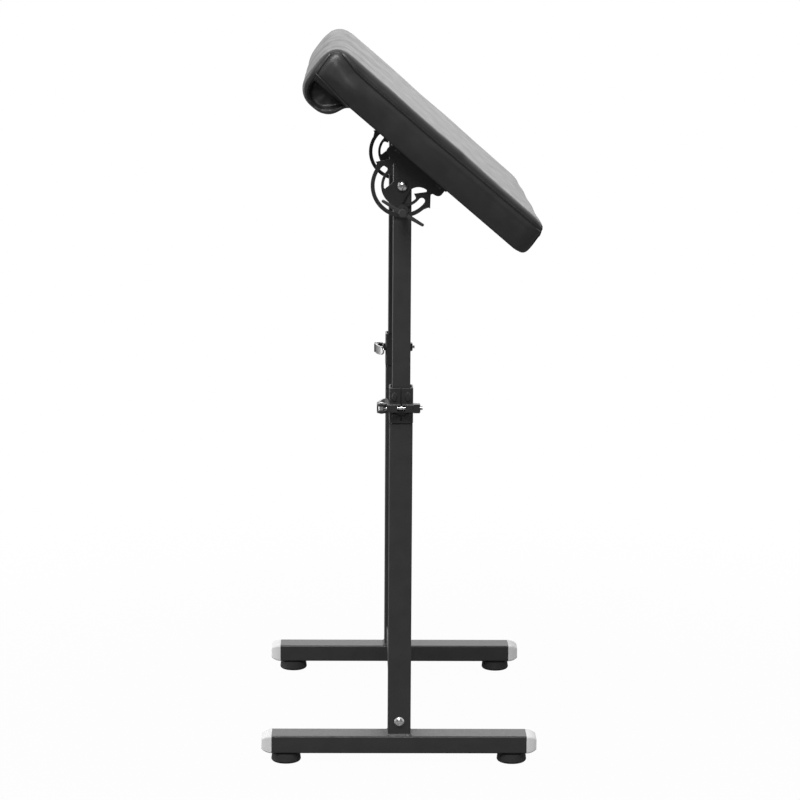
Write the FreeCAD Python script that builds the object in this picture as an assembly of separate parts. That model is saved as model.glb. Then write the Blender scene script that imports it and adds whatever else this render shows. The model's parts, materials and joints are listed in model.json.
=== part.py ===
import FreeCAD, Part
import math
import os

# Adjustable arm rest stand with a padded top, in millimetres.
# Two square posts stand on two foot bars, joined low down by a crossbar.
# An inner tube slides in each post and is held by a collar with a cam lever.
# A slotted bracket on each inner tube carries the tilting pad.
# X runs along the foot bars, Y along the pad, Z up. The floor is Z = 0 and the
# origin is the middle of the stand on the floor. The near side is -Y.

V = FreeCAD.Vector
X_AXIS = V(1, 0, 0)
Y_AXIS = V(0, 1, 0)
Z_AXIS = V(0, 0, 1)
ORIGIN = V(0, 0, 0)
SIDES = {"near": -1, "far": 1}
ENDS = {"left": -1, "right": 1}

# Foot bars
bar_length = 356.0
bar_depth = 40.0
bar_height = 25.0
bar_wall = 1.5
bar_corner = 2.5
stand_inset = 67.5

# Rubber feet and their screws
foot_height = 15.5
foot_neck_height = 2.0
foot_neck_d = 33.0
foot_top_d = 39.0
foot_bottom_d = 41.5
foot_edge_height = 3.5
foot_sole_d = 35.0
foot_bulge_shares = (0.66, 0.36)
foot_from_end = 20.0
foot_recess_d = 13.0
foot_recess_depth = 6.0
foot_screw_d = 6.0
foot_screw_head_d = 11.0
foot_screw_head_height = 3.5
foot_nut_width = 10.0
foot_nut_height = 5.0
foot_screw_overrun = 1.5

# End caps
cap_flange = 1.6
cap_reach = 14.0
cap_shoulder = 8.0
cap_shoulder_drop = 1.3
cap_face_drop = 4.6
cap_spigot_length = 13.0
cap_spigot_wall = 2.0
cap_spigot_clear = 0.2

# Outer posts
post_width = 32.0
post_wall = 1.5
post_corner = 2.5
post_top = 482.0
weld_leg = 2.6
weld_height = 2.6

# Crossbar
crossbar_width = 25.0
crossbar_wall = 1.5
crossbar_corner = 2.0
crossbar_height = 60.3
plug_length = 22.0
plug_clear = 0.1

# M8 fasteners
bolt_d = 8.0
bolt_hole_clear = 0.2
bolt_head_d = 14.0
bolt_head_height = 4.4
bolt_head_rim = 0.8
bolt_socket = 5.0
bolt_socket_depth = 2.6
crossbar_bolt_engage = 16.0
thread_clear = 0.1
m8_nut_width = 13.0
m8_nut_height = 6.8
washer_d = 16.0
washer_thickness = 1.5

# Collars
collar_width = 33.0
collar_height = 50.5
collar_corner = 3.5
collar_chamfer = 0.9
collar_foot_gap = 2.4
collar_foot_gap_height = 2.0
collar_mouth_gap = 1.6
collar_mouth_depth = 3.0
collar_bore_clear = 0.3
spigot_length = 30.0
spigot_clear = 0.2
slit_width = 2.2
slit_foot = 5.0
slit_depth = 4.5
lug_height = 12.0
lug_reach = 13.5
lug_corner = 2.0
lug_window = 11.0
lug_window_height = 8.4
lug_window_depth = 6.8
recess_width = 9.6
recess_height = 7.0
recess_depth = 2.4
clamp_height = 24.4
oval_width = 7.6
oval_high_height = 13.6
oval_low_height = 8.6
oval_spread = 9.2
oval_above_bolt = 13.6
oval_below_bolt = 12.6
oval_proud = 1.4
oval_chamfer = 1.1

# Clamp bolts, cam levers and nuts
clamp_bolt_d = 5.0
clamp_bolt_out = 9.5
clamp_hole_clear = 0.2
eye_d = 8.0
eye_height = 5.6
cam_pin_d = 4.0
cam_pin_head_d = 5.6
cam_pin_head_height = 0.8
cam_pin_fit = 0.08
cheek_inner = 3.0
cheek_thickness = 3.4
cheek_radius = 6.6
cam_lift = 0.6
cam_gap = 0.3
cam_washer_thickness = 3.2
cam_washer_height = 11.0
cam_washer_depth = 8.0
cam_washer_round = 1.5
fork_bridge_start = 8.5
fork_bridge_end = 14.0
fork_outer_x = -6.0
fork_inner_x = 0.6
blade_thickness = 2.6
blade_height = 13.0
blade_length = 32.0
blade_sweep = 12.0
blade_bow = 3.2
clamp_nut_width = 12.0
clamp_nut_length = 9.4
clamp_nut_chamfer = 1.2
clamp_bolt_overrun = 3.2
lever_rest_turn = {"near": 0.0, "far": 2.0}

# Inner tubes
tube_width = 25.0
tube_wall = 1.5
tube_corner = 2.0
tube_room_above = 59.0
tube_top_above_pivot = 26.0
top_plug_head = 2.0
top_plug_depth = 12.0
top_plug_clear = 0.1
guide_height = 20.0
guide_floor = 2.0
guide_clear = 0.2
guide_bore_clear = 0.1

# Tilt pivots and slotted brackets
pivot_height = 809.5
pad_tilt = 40.3
plate_thickness = 3.0
plate_gap = 0.1
spacer_d = 20.0
spacer_thickness = 1.0
pivot_fit = 0.15
slot_radius = 33.3
slot_clear = 0.3
slot_half_sweep = 92.0
band_outer_wall = 5.4
band_inner_wall = 3.8
flange_depth = 30.0
flange_overhang = 5.0
bend_radius = 2.5
board_underside = 36.0
edge_tolerance = 0.3

# T handles
stud_d = 8.0
stud_fit = 0.1
handle_flange_d = 16.0
handle_flange_thickness = 3.0
handle_neck_d = 9.0
handle_hub_d = 12.0
handle_hub_height = 11.0
handle_hub_chamfer = 1.4
handle_bar_offset = 34.0
handle_bar_half = 33.0
handle_bar_root_d = 6.4
handle_bar_tip_d = 4.2
handle_rest_turn = {"near": 31.0, "far": -86.0}
stud_nut_height = 6.5
stud_tip = 1.0

# Pad
pad_length = 627.0
board_thickness = 12.0
lining_thickness = 0.8
rim_width = 7.5
soft_clear = 0.3
nose_reach = 197.6
heel_reach = 178.0
cushion_height = 57.0
cushion_crown = 1.5
roll_inset = 2.1
roll_width = 68.5
roll_depth = 26.3
batten_inset = 17.5
batten_width = 34.0
batten_height = 16.8
batten_end_clear = 40.0
bracket_screw_d = 4.0
bracket_screw_head_d = 8.0
bracket_screw_head_height = 2.6
bracket_screw_length = 14.0
bracket_screw_spread = 36.0
bracket_screw_out = 30.0
batten_screw_depth = 9.0
batten_screw_place_shares = (-0.805, 0, 0.805)
batten_screw_cover = 1.0
screw_clear = 0.1

# One overrun serves all cuts
overrun = 2.0

# Turns
full_turn = 360.0
quarter_turn = 90.0
hex_sides = 6

# Side profile of the slab cushion, seen from the near end: each point is the share
# of the reach left (minus) or right (plus) of the pivot, then of the cushion's height
slab_base_left_shares = (-0.982, 0.0)
slab_face_low_shares = (-0.998, 0.175)
slab_face_high_shares = (-1.0, 0.421)
slab_nose_mid_shares = (-0.969, 0.798)
slab_top_left_shares = (-0.870, 0.972)
slab_top_mid_shares = (-0.051, 1.0)
slab_top_right_shares = (0.832, 0.958)
slab_heel_mid_shares = (0.955, 0.853)
slab_heel_low_shares = (0.998, 0.596)
slab_end_mid_shares = (1.0, 0.298)
slab_base_right_shares = (0.966, 0.0)

# Side profile of the roll under the slab's high end: each point is the share of the
# roll's width from its left side, then of its depth below the slab
roll_left_mid_shares = (0.013, 0.445)
roll_left_low_shares = (0.124, 0.787)
roll_bottom_mid_shares = (0.358, 1.0)
roll_bottom_right_shares = (0.620, 0.962)
roll_right_mid_shares = (0.839, 0.654)

# Tip of each bracket arm: shares of the flange's half length and of the height of
# the board's underside above the pivot
tip_lobe_shares = ((1.0, 0.75), (0.977, 0.6), (0.885, 0.525))
tip_notch_shares = ((0.825, 0.506), (0.779, 0.467), (0.781, 0.406))
tip_barb_shares = ((1.010, 0.028), (0.956, 0.006))
band_start_share = 0.14

# Window beside the bracket's tongue: the upper points are shares of the band's inner
# radius and of the underside's height, the lower points are all shares of that radius
window_start_shares = (0.484, 0.111)
window_rise_shares = (0.619, 0.289)
window_crest_shares = ((0.909, 0.431), (1.032, 0.458), (1.135, 0.461))
window_end_shares = ((1.190, 0.422), (1.163, 0.375))
window_barb_shares = ((0.794, 0.083), (0.766, 0.056), (0.794, 0.036))
window_throat_shares = (0.960, -0.011)
window_toe_shares = ((0.623, -0.738), (0.599, -0.667), (0.512, -0.198))
window_band_high_share = 0.079
window_band_low_share = 0.690
window_band_turn = -24.0

# Rounding of the pad's ends, and its shares at stations along the pad: how far in
# from the end, how much of the rounding is taken off the edges there
end_round = 11.0
end_station_shares = ((0.0, 1.0), (0.2, 0.52), (0.5, 0.22), (1.0, 0.05),
                      (2.0, 0.0), (4.0, 0.0), (8.0, 0.0), (15.0, 0.0))
roll_round_share = 0.6

# Places worked out from the dimensions above
stand_spacing = pad_length - 2 * stand_inset
stand_y = stand_spacing / 2
bar_bottom = foot_height
bar_top = foot_height + bar_height
post_length = post_top - bar_top
clamp_z = post_top + clamp_height
bolt_hole_d = bolt_d + 2 * bolt_hole_clear
thread_hole_d = bolt_d + 2 * thread_clear
post_bore = post_width - 2 * post_wall
tube_bore = tube_width - 2 * tube_wall
tube_top = pivot_height + tube_top_above_pivot
guide_top = post_top - spigot_length - tube_room_above
tube_bottom = guide_top - guide_height + guide_floor
clamp_y = -collar_width / 2 - clamp_bolt_out
cam_pin_x = -collar_width / 2 - cam_washer_thickness - cam_gap - cheek_radius - cam_lift
plate_inner = tube_width / 2 + spacer_thickness + plate_gap
plate_outer = plate_inner + plate_thickness
handle_seat = plate_outer + plate_gap
board_bottom = board_underside + lining_thickness
board_top = board_bottom + board_thickness
handle_z = pivot_height - slot_radius
slot_half_width = stud_d / 2 + slot_clear
band_outer_r = slot_radius + slot_half_width + band_outer_wall
band_inner_r = slot_radius - slot_half_width - band_inner_wall
flange_half_length = band_outer_r + flange_overhang
pad_half = pad_length / 2
roll_top = board_underside - soft_clear
roll_left = -nose_reach + roll_inset
roll_right = roll_left + roll_width
batten_left = roll_left + batten_inset
batten_right = batten_left + batten_width
batten_bottom = board_bottom - batten_height


def vec(point):
    return V(point[0], point[1], 0)


def line(a, b):
    return Part.LineSegment(vec(a), vec(b)).toShape()


def arc(a, b, c):
    return Part.Arc(vec(a), vec(b), vec(c)).toShape()


def rounded_wire(width, depth, corner):
    """Rectangle with round corners in the XY plane, about the origin."""
    hx = width / 2
    hy = depth / 2
    k = corner * (1 - math.sqrt(0.5))
    edges = []
    quarter_signs = ((1, 1), (-1, 1), (-1, -1), (1, -1))
    for index, (sx, sy) in enumerate(quarter_signs):
        mid = (sx * (hx - k), sy * (hy - k))
        on_side = (sx * hx, sy * (hy - corner))
        on_end = (sx * (hx - corner), sy * hy)
        ends = (on_side, on_end) if index in (0, 2) else (on_end, on_side)
        edges.append(arc(ends[0], mid, ends[1]))
        nx, ny = quarter_signs[(index + 1) % len(quarter_signs)]
        if index in (0, 2):
            edges.append(line(on_end, (nx * (hx - corner), ny * hy)))
        else:
            edges.append(line(on_side, (nx * hx, ny * (hy - corner))))
    return Part.Wire(edges)


def bar_solid(width, depth, corner, length):
    """Rounded bar standing on Z = 0."""
    return Part.Face(rounded_wire(width, depth, corner)).extrude(V(0, 0, length))


def tube_solid(width, depth, corner, wall, length):
    inner = bar_solid(width - 2 * wall, depth - 2 * wall, corner - wall / 2, length + 2 * overrun)
    inner.translate(V(0, 0, -overrun))
    return bar_solid(width, depth, corner, length).cut(inner)


def box(x0, x1, y0, y1, z0, z1):
    return Part.makeBox(x1 - x0, y1 - y0, z1 - z0, V(x0, y0, z0))


def rod(diameter, start, direction, length):
    return Part.makeCylinder(diameter / 2, length, start, direction)


def hexagon(width, height, start, direction):
    """Hexagonal prism, its width measured across the flats."""
    radius = width / 2 / math.cos(math.pi / hex_sides)
    corners = []
    for step in range(hex_sides):
        angle = math.radians(full_turn * step / hex_sides)
        corners.append(V(radius * math.cos(angle), radius * math.sin(angle), 0))
    corners.append(corners[0])
    prism = Part.Face(Part.makePolygon(corners)).extrude(V(0, 0, height))
    prism.Placement = FreeCAD.Placement(start, FreeCAD.Rotation(Z_AXIS, direction))
    return prism


def button_bolt(seat, outward, shank_length):
    """Button head bolt with a hex socket; seat is under its head."""
    dome_rise = bolt_head_height - bolt_head_rim
    head_r = bolt_head_d / 2
    dome_r = (head_r ** 2 + dome_rise ** 2) / (2 * dome_rise)
    half_r = head_r / 2
    dome_mid = (half_r, bolt_head_height - dome_r + math.sqrt(dome_r ** 2 - half_r ** 2))
    outline = Part.Wire([
        line((0, 0), (head_r, 0)), line((head_r, 0), (head_r, bolt_head_rim)),
        arc((head_r, bolt_head_rim), dome_mid, (0, bolt_head_height)),
        line((0, bolt_head_height), (0, 0))])
    head = Part.Face(in_side_view(outline, 0)).revolve(ORIGIN, Z_AXIS, full_turn)
    socket_floor = V(0, 0, bolt_head_height - bolt_socket_depth)
    head = head.cut(hexagon(bolt_socket, bolt_socket_depth + overrun, socket_floor, Z_AXIS))
    bolt = head.fuse(rod(bolt_d, ORIGIN, Z_AXIS * -1, shank_length)).removeSplitter()
    bolt.Placement = FreeCAD.Placement(seat, FreeCAD.Rotation(Z_AXIS, outward))
    return bolt


def washer(outer_d, hole_d, thickness, start, direction):
    disc = rod(outer_d, start, direction, thickness)
    return disc.cut(rod(hole_d, start - direction * overrun, direction, thickness + 2 * overrun))


def moved(shape, x, y, z):
    copy = shape.copy()
    copy.translate(V(x, y, z))
    return copy


def turned(shape, centre, axis, angle):
    copy = shape.copy()
    copy.rotate(centre, axis, angle)
    return copy


def on_pad(shape):
    """Tips a shape drawn flat about the pivot to the pad's rest slope."""
    tipped = turned(shape, ORIGIN, Y_AXIS, pad_tilt)
    return moved(tipped, 0, 0, pivot_height)


def in_side_view(wire, y):
    """Stands a wire drawn in XY up in the XZ plane at the given Y."""
    stood = wire.copy()
    stood.rotate(ORIGIN, X_AXIS, quarter_turn)
    stood.translate(V(0, y, 0))
    return stood


def foot_places():
    for side, sy in SIDES.items():
        for end, sx in ENDS.items():
            x = sx * (bar_length / 2 - foot_from_end)
            yield side + "_" + end, V(x, sy * stand_y, 0), sx


def foot_bars():
    bars = {}
    for side, sy in SIDES.items():
        bar = tube_solid(bar_height, bar_depth, bar_corner, bar_wall, bar_length)
        bar.rotate(ORIGIN, Y_AXIS, quarter_turn)
        bar.translate(V(-bar_length / 2, sy * stand_y, bar_bottom + bar_height / 2))
        for name, place, sx in foot_places():
            if name.startswith(side):
                start = place + V(0, 0, bar_bottom - overrun)
                hole_d = foot_screw_d + 2 * screw_clear
                bar = bar.cut(rod(hole_d, start, Z_AXIS, bar_wall + 2 * overrun))
        bars["foot_bar_" + side] = bar
    return bars


def rubber_feet():
    """Slightly conical feet with a rounded lower edge and a thin neck."""
    body_top = foot_height - foot_neck_height
    bottom_r = foot_bottom_d / 2
    sole_r = foot_sole_d / 2
    bulge = (sole_r + (bottom_r - sole_r) * foot_bulge_shares[0],
             foot_edge_height * foot_bulge_shares[1])
    outline = Part.Wire([
        line((0, 0), (sole_r, 0)),
        arc((sole_r, 0), bulge, (bottom_r, foot_edge_height)),
        line((bottom_r, foot_edge_height), (foot_top_d / 2, body_top)),
        line((foot_top_d / 2, body_top), (foot_neck_d / 2, body_top)),
        line((foot_neck_d / 2, body_top), (foot_neck_d / 2, foot_height)),
        line((foot_neck_d / 2, foot_height), (0, foot_height)),
        line((0, foot_height), (0, 0))])
    foot = Part.Face(in_side_view(outline, 0)).revolve(ORIGIN, Z_AXIS, full_turn)
    foot = foot.cut(rod(foot_recess_d, V(0, 0, -overrun), Z_AXIS, foot_recess_depth + overrun))
    bore_d = foot_screw_d + 2 * screw_clear
    foot = foot.cut(rod(bore_d, ORIGIN, Z_AXIS, foot_height + overrun))
    return {"rubber_foot_" + name: moved(foot, place.x, place.y, 0)
            for name, place, sx in foot_places()}


def foot_fasteners():
    screws = []
    nuts = []
    nut_z = bar_bottom + bar_wall
    for name, place, sx in foot_places():
        seat = place + V(0, 0, foot_recess_depth)
        head = rod(foot_screw_head_d, seat, Z_AXIS * -1, foot_screw_head_height)
        reach = nut_z + foot_nut_height + foot_screw_overrun - foot_recess_depth
        screws.append(head.fuse(rod(foot_screw_d, seat, Z_AXIS, reach)))
        nut = hexagon(foot_nut_width, foot_nut_height, place + V(0, 0, nut_z), Z_AXIS)
        hole_d = foot_screw_d + 2 * thread_clear
        hole = rod(hole_d, place + V(0, 0, nut_z - overrun), Z_AXIS, foot_nut_height + 2 * overrun)
        nuts.append(nut.cut(hole))
    return {"foot_screws": Part.makeCompound(screws), "foot_nuts": Part.makeCompound(nuts)}


def end_caps():
    """Plastic caps with a flange, a domed end and a hollow spigot in the bar."""
    def section(drop, reach):
        wire = rounded_wire(bar_height - 2 * drop, bar_depth - 2 * drop, bar_corner)
        wire.translate(V(0, 0, reach))
        return wire
    flange = bar_solid(bar_height, bar_depth, bar_corner, cap_flange)
    dome = Part.makeLoft([section(0, cap_flange), section(cap_shoulder_drop, cap_shoulder),
                          section(cap_face_drop, cap_reach)], True, False)
    gap = 2 * (bar_wall + cap_spigot_clear)
    spigot = tube_solid(bar_height - gap, bar_depth - gap, bar_corner - bar_wall / 2,
                        cap_spigot_wall, cap_spigot_length)
    spigot.translate(V(0, 0, -cap_spigot_length))
    cap = flange.fuse(dome).fuse(spigot).removeSplitter()
    caps = {}
    for side, sy in SIDES.items():
        for end, sx in ENDS.items():
            placed = turned(cap, ORIGIN, Y_AXIS, sx * quarter_turn)
            placed.translate(V(sx * bar_length / 2, sy * stand_y, bar_bottom + bar_height / 2))
            caps["end_cap_" + side + "_" + end] = placed
    return caps


def outer_posts():
    posts = {}
    for side, sy in SIDES.items():
        post = tube_solid(post_width, post_width, post_corner, post_wall, post_length)
        post.translate(V(0, sy * stand_y, bar_top))
        start = V(0, sy * stand_y - post_width / 2 - overrun, crossbar_height)
        post = post.cut(rod(bolt_hole_d, start, Y_AXIS, post_width + 2 * overrun))
        posts["outer_post_" + side] = post
    return posts


def base_welds():
    """Fillet bead round the foot of each post."""
    lower = rounded_wire(post_width + 2 * weld_leg, post_width + 2 * weld_leg,
                         post_corner + weld_leg)
    upper = rounded_wire(post_width, post_width, post_corner)
    upper.translate(V(0, 0, weld_height))
    bead = Part.makeLoft([lower, upper], True, True)
    core = bar_solid(post_width, post_width, post_corner, weld_height + 2 * overrun)
    core.translate(V(0, 0, -overrun))
    bead = bead.cut(core)
    return {"base_welds": Part.makeCompound(
        [moved(bead, 0, sy * stand_y, bar_top) for sy in SIDES.values()])}


def crossbar_parts():
    length = stand_spacing - post_width
    tube = tube_solid(crossbar_width, crossbar_width, crossbar_corner, crossbar_wall, length)
    tube.rotate(ORIGIN, X_AXIS, -quarter_turn)
    tube.translate(V(0, -length / 2, crossbar_height))
    plug_width = crossbar_width - 2 * crossbar_wall - 2 * plug_clear
    plugs = []
    bolts = []
    for sy in SIDES.values():
        outward = V(0, sy, 0)
        plug = bar_solid(plug_width, plug_width, crossbar_corner, plug_length)
        plug = plug.cut(rod(thread_hole_d, V(0, 0, -overrun), Z_AXIS, plug_length + 2 * overrun))
        plug.rotate(ORIGIN, X_AXIS, -sy * quarter_turn)
        plug.translate(V(0, sy * (length / 2 - plug_length), crossbar_height))
        plugs.append(plug)
        seat = V(0, sy * (stand_y + post_width / 2), crossbar_height)
        bolts.append(button_bolt(seat, outward, post_width + crossbar_bolt_engage))
    return {"crossbar": tube, "crossbar_plugs": Part.makeCompound(plugs),
            "crossbar_bolts": Part.makeCompound(bolts)}


def collar_shape():
    """Split plastic collar about its post's axis, its bottom at Z = 0."""
    outer = bar_solid(collar_width, collar_width, collar_corner, collar_height)
    top_edges = [edge for edge in outer.Edges
                 if edge.BoundBox.ZMin > collar_height - edge_tolerance]
    outer = outer.makeChamfer(collar_chamfer, top_edges)
    neck_width = collar_width - 2 * collar_foot_gap
    neck = bar_solid(neck_width, neck_width, collar_corner, collar_foot_gap_height)
    foot = box(-collar_width, collar_width, -collar_width, collar_width,
               -overrun, collar_foot_gap_height)
    outer = outer.cut(foot.cut(neck))
    spigot_width = post_bore - 2 * spigot_clear
    spigot = bar_solid(spigot_width, spigot_width, post_corner / 2, spigot_length)
    spigot.translate(V(0, 0, -spigot_length))
    front = -collar_width / 2
    lug = bar_solid(lug_height, lug_reach + collar_corner, lug_corner, collar_width)
    lug.rotate(ORIGIN, Y_AXIS, quarter_turn)
    lug.translate(V(-collar_width / 2, front - lug_reach / 2 + collar_corner / 2, clamp_height))
    body = outer.fuse(spigot).fuse(lug)
    for height, up in ((oval_high_height, oval_above_bolt), (oval_low_height, -oval_below_bolt)):
        oval = Part.Ellipse(ORIGIN, height / 2, oval_width / 2).toShape()
        oval.rotate(ORIGIN, Z_AXIS, quarter_turn)
        oval = in_side_view(Part.Wire([oval]), front - oval_proud)
        boss = Part.Face(oval).extrude(V(0, oval_proud + collar_corner / 2, 0))
        rim = [edge for edge in boss.Edges if edge.BoundBox.YMax < front - oval_proud + edge_tolerance]
        boss = boss.makeChamfer(oval_chamfer, rim)
        for sx in ENDS.values():
            body = body.fuse(moved(boss, sx * oval_spread, 0, clamp_height + up))
    bore_width = tube_width + 2 * collar_bore_clear
    bore = bar_solid(bore_width, bore_width, tube_corner,
                     collar_height + spigot_length + 2 * overrun)
    bore.translate(V(0, 0, -spigot_length - overrun))
    body = body.cut(bore)
    mouth_width = bore_width + 2 * collar_mouth_gap
    mouth = bar_solid(mouth_width, mouth_width, tube_corner + collar_mouth_gap,
                      collar_mouth_depth + overrun)
    mouth.translate(V(0, 0, collar_height - collar_mouth_depth))
    body = body.cut(mouth)
    slit = box(-slit_width / 2, slit_width / 2, front - lug_reach - overrun, front + slit_depth,
               slit_foot, collar_height + overrun)
    body = body.cut(slit)
    lug_foot = clamp_height - lug_height / 2
    recess = box(-recess_width / 2, recess_width / 2, front - overrun, front + recess_depth,
                 lug_foot - recess_height, lug_foot)
    body = body.cut(recess)
    window = box(-lug_window / 2, lug_window / 2, front - lug_reach - overrun,
                 front - lug_reach + lug_window_depth,
                 clamp_height - lug_window_height / 2, clamp_height + lug_window_height / 2)
    body = body.cut(window)
    hole_d = clamp_bolt_d + 2 * clamp_hole_clear
    start = V(-collar_width / 2 - overrun, clamp_y, clamp_height)
    return body.cut(rod(hole_d, start, X_AXIS, collar_width + 2 * overrun)).removeSplitter()


def clamp_bolt_shape():
    """Long bolt through the lug with an eye at its lever end."""
    right_end = collar_width / 2 + clamp_nut_length + clamp_bolt_overrun
    start = V(cam_pin_x, clamp_y, 0)
    shank = rod(clamp_bolt_d, start, X_AXIS, right_end - cam_pin_x)
    eye = rod(eye_d, start - V(0, 0, eye_height / 2), Z_AXIS, eye_height)
    hole_d = cam_pin_d + 2 * cam_pin_fit
    hole = rod(hole_d, start - V(0, 0, eye_height), Z_AXIS, 2 * eye_height)
    return shank.fuse(eye).cut(hole)


def cam_pin_shape():
    """Headed pin that the lever turns on."""
    half = cheek_inner + cheek_thickness + cam_gap
    start = V(cam_pin_x, clamp_y, -half)
    pin = rod(cam_pin_d, start, Z_AXIS, 2 * half)
    low = rod(cam_pin_head_d, start, Z_AXIS * -1, cam_pin_head_height)
    high = rod(cam_pin_head_d, start + V(0, 0, 2 * half), Z_AXIS, cam_pin_head_height)
    return pin.fuse(low).fuse(high)


def cam_washer_shape():
    """Shaped pad between the cam and the lug."""
    block = bar_solid(cam_washer_height, cam_washer_depth, lug_corner, cam_washer_thickness)
    cam_edges = [edge for edge in block.Edges if edge.BoundBox.ZMax < edge_tolerance]
    block = block.makeFillet(cam_washer_round, cam_edges)
    block.rotate(ORIGIN, Y_AXIS, quarter_turn)
    block.translate(V(-collar_width / 2 - cam_washer_thickness, clamp_y, 0))
    hole_d = clamp_bolt_d + 2 * clamp_hole_clear
    start = V(-collar_width / 2 - cam_washer_thickness - overrun, clamp_y, 0)
    return block.cut(rod(hole_d, start, X_AXIS, cam_washer_thickness + 2 * overrun))


def clamp_nut_shape():
    start = V(collar_width / 2, clamp_y, 0)
    half = clamp_nut_width / 2
    block = box(start.x, start.x + clamp_nut_length, clamp_y - half, clamp_y + half, -half, half)
    outer_edges = [edge for edge in block.Edges
                   if edge.BoundBox.XMin > start.x + clamp_nut_length / 2]
    block = block.makeChamfer(clamp_nut_chamfer, outer_edges)
    hole_d = clamp_bolt_d + 2 * thread_clear
    return block.cut(rod(hole_d, start - X_AXIS * overrun, X_AXIS, clamp_nut_length + 2 * overrun))


def cam_fork_shape():
    """Two cam cheeks off centre about the pin at the origin, joined behind it."""
    solids = []
    for low in (-cheek_inner - cheek_thickness, cheek_inner):
        disc = rod(2 * cheek_radius, V(cam_lift, 0, low), Z_AXIS, cheek_thickness)
        arm = box(fork_outer_x, fork_inner_x, 0, fork_bridge_end, low, low + cheek_thickness)
        solids.append(disc.fuse(arm))
    bridge = box(fork_outer_x, fork_inner_x, fork_bridge_start, fork_bridge_end,
                 -cheek_inner, cheek_inner)
    fork = solids[0].fuse(solids[1]).fuse(bridge)
    height = 2 * (cheek_inner + cheek_thickness + overrun)
    hole = rod(cam_pin_d + 2 * cam_pin_fit, V(0, 0, -height / 2), Z_AXIS, height)
    return fork.cut(hole).removeSplitter()


def lever_blade_shape():
    """Bowed blade behind the fork, with a round end, about the pin."""
    start_x = (fork_inner_x + fork_outer_x) / 2
    end_x = start_x + blade_sweep
    end_y = fork_bridge_end + blade_length
    mid_x = (start_x + end_x) / 2 - blade_bow
    mid_y = fork_bridge_end + blade_length / 2
    half = blade_thickness / 2
    outline = Part.Wire([
        arc((start_x - half, fork_bridge_end), (mid_x - half, mid_y), (end_x - half, end_y)),
        line((end_x - half, end_y), (end_x + half, end_y)),
        arc((end_x + half, end_y), (mid_x + half, mid_y), (start_x + half, fork_bridge_end)),
        line((start_x + half, fork_bridge_end), (start_x - half, fork_bridge_end))])
    blade = Part.Face(outline).extrude(V(0, 0, blade_height))
    blade.translate(V(0, 0, -blade_height / 2))
    width = blade_sweep + cheek_radius + overrun
    round_y = end_y - blade_height / 2
    round_end = rod(blade_height, V(-width, round_y, 0), X_AXIS, 2 * width)
    body = box(-width, width, fork_bridge_end - overrun, round_y,
               -blade_height / 2, blade_height / 2)
    return blade.common(round_end.fuse(body))


def clamps():
    """Both clamps; the far one is the near one's mirror image, its bolt outward too."""
    fixed = {"collar_": moved(collar_shape(), 0, 0, post_top - clamp_z),
             "clamp_bolt_": clamp_bolt_shape(), "cam_pin_": cam_pin_shape(),
             "cam_washer_": cam_washer_shape(), "clamp_nut_": clamp_nut_shape()}
    lever = {"cam_fork_": cam_fork_shape(), "lever_blade_": lever_blade_shape()}
    pieces = {}
    for side, sy in SIDES.items():
        group = dict(fixed)
        for name, shape in lever.items():
            swung = turned(shape, ORIGIN, Z_AXIS, lever_rest_turn[side])
            group[name] = moved(swung, cam_pin_x, clamp_y, 0)
        for name, shape in group.items():
            if sy > 0:
                shape = shape.mirror(ORIGIN, Y_AXIS)
            pieces[name + side] = moved(shape, 0, sy * stand_y, clamp_z)
    return pieces


def inner_tubes():
    pieces = {}
    length = tube_top - tube_bottom
    for side, sy in SIDES.items():
        y = sy * stand_y
        tube = tube_solid(tube_width, tube_width, tube_corner, tube_wall, length)
        tube.translate(V(0, y, tube_bottom))
        start = V(0, y - tube_width / 2 - overrun, pivot_height)
        tube = tube.cut(rod(bolt_hole_d, start, Y_AXIS, tube_width + 2 * overrun))
        outward = V(0, sy, 0)
        start = V(0, y, handle_z)
        tube = tube.cut(rod(bolt_hole_d, start, outward, tube_width))
        pieces["inner_tube_" + side] = tube
        head = bar_solid(tube_width, tube_width, tube_corner, top_plug_head)
        stem_width = tube_bore - 2 * top_plug_clear
        stem = bar_solid(stem_width, stem_width, tube_corner / 2, top_plug_depth)
        stem.translate(V(0, 0, -top_plug_depth))
        pieces["top_plug_" + side] = moved(head.fuse(stem), 0, y, tube_top)
        outer_width = post_bore - 2 * guide_clear
        bore_width = tube_width + 2 * guide_bore_clear
        guide = bar_solid(outer_width, outer_width, post_corner / 2, guide_height)
        bore = bar_solid(bore_width, bore_width, tube_corner, guide_height)
        guide = guide.cut(moved(bore, 0, 0, guide_floor))
        pieces["tube_guide_" + side] = moved(guide, 0, y, tube_bottom - guide_floor)
    return pieces


def scaled(shares, along, up):
    return (shares[0] * along, shares[1] * up)


def bracket_outline():
    """Outline of the slotted plate: arms, barbed tips and the round band."""
    half = flange_half_length
    top = board_underside
    lobe_top, lobe_mid, lobe_low = [scaled(pair, half, top) for pair in tip_lobe_shares]
    notch_in, notch_mid, notch_out = [scaled(pair, half, top) for pair in tip_notch_shares]
    barb, barb_heel = [scaled(pair, half, top) for pair in tip_barb_shares]
    band_start = circle_point(band_outer_r, -band_start_share * band_outer_r)
    right = [line((half, top), lobe_top), arc(lobe_top, lobe_mid, lobe_low),
             line(lobe_low, notch_in), arc(notch_in, notch_mid, notch_out),
             line(notch_out, barb), line(barb, barb_heel), line(barb_heel, band_start)]
    left = [mirrored_edge(edge) for edge in right]
    band = arc(band_start, (0, -band_outer_r), (-band_start[0], band_start[1]))
    top_edge = line((-half, top), (half, top))
    return Part.Wire(Part.__sortEdges__(right + [band] + left + [top_edge]))


def circle_point(radius, up):
    """Point to the right on a circle about the pivot, at a height above it."""
    return (math.sqrt(radius ** 2 - up ** 2), up)


def mirrored_edge(edge):
    return edge.mirror(ORIGIN, X_AXIS)


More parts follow.
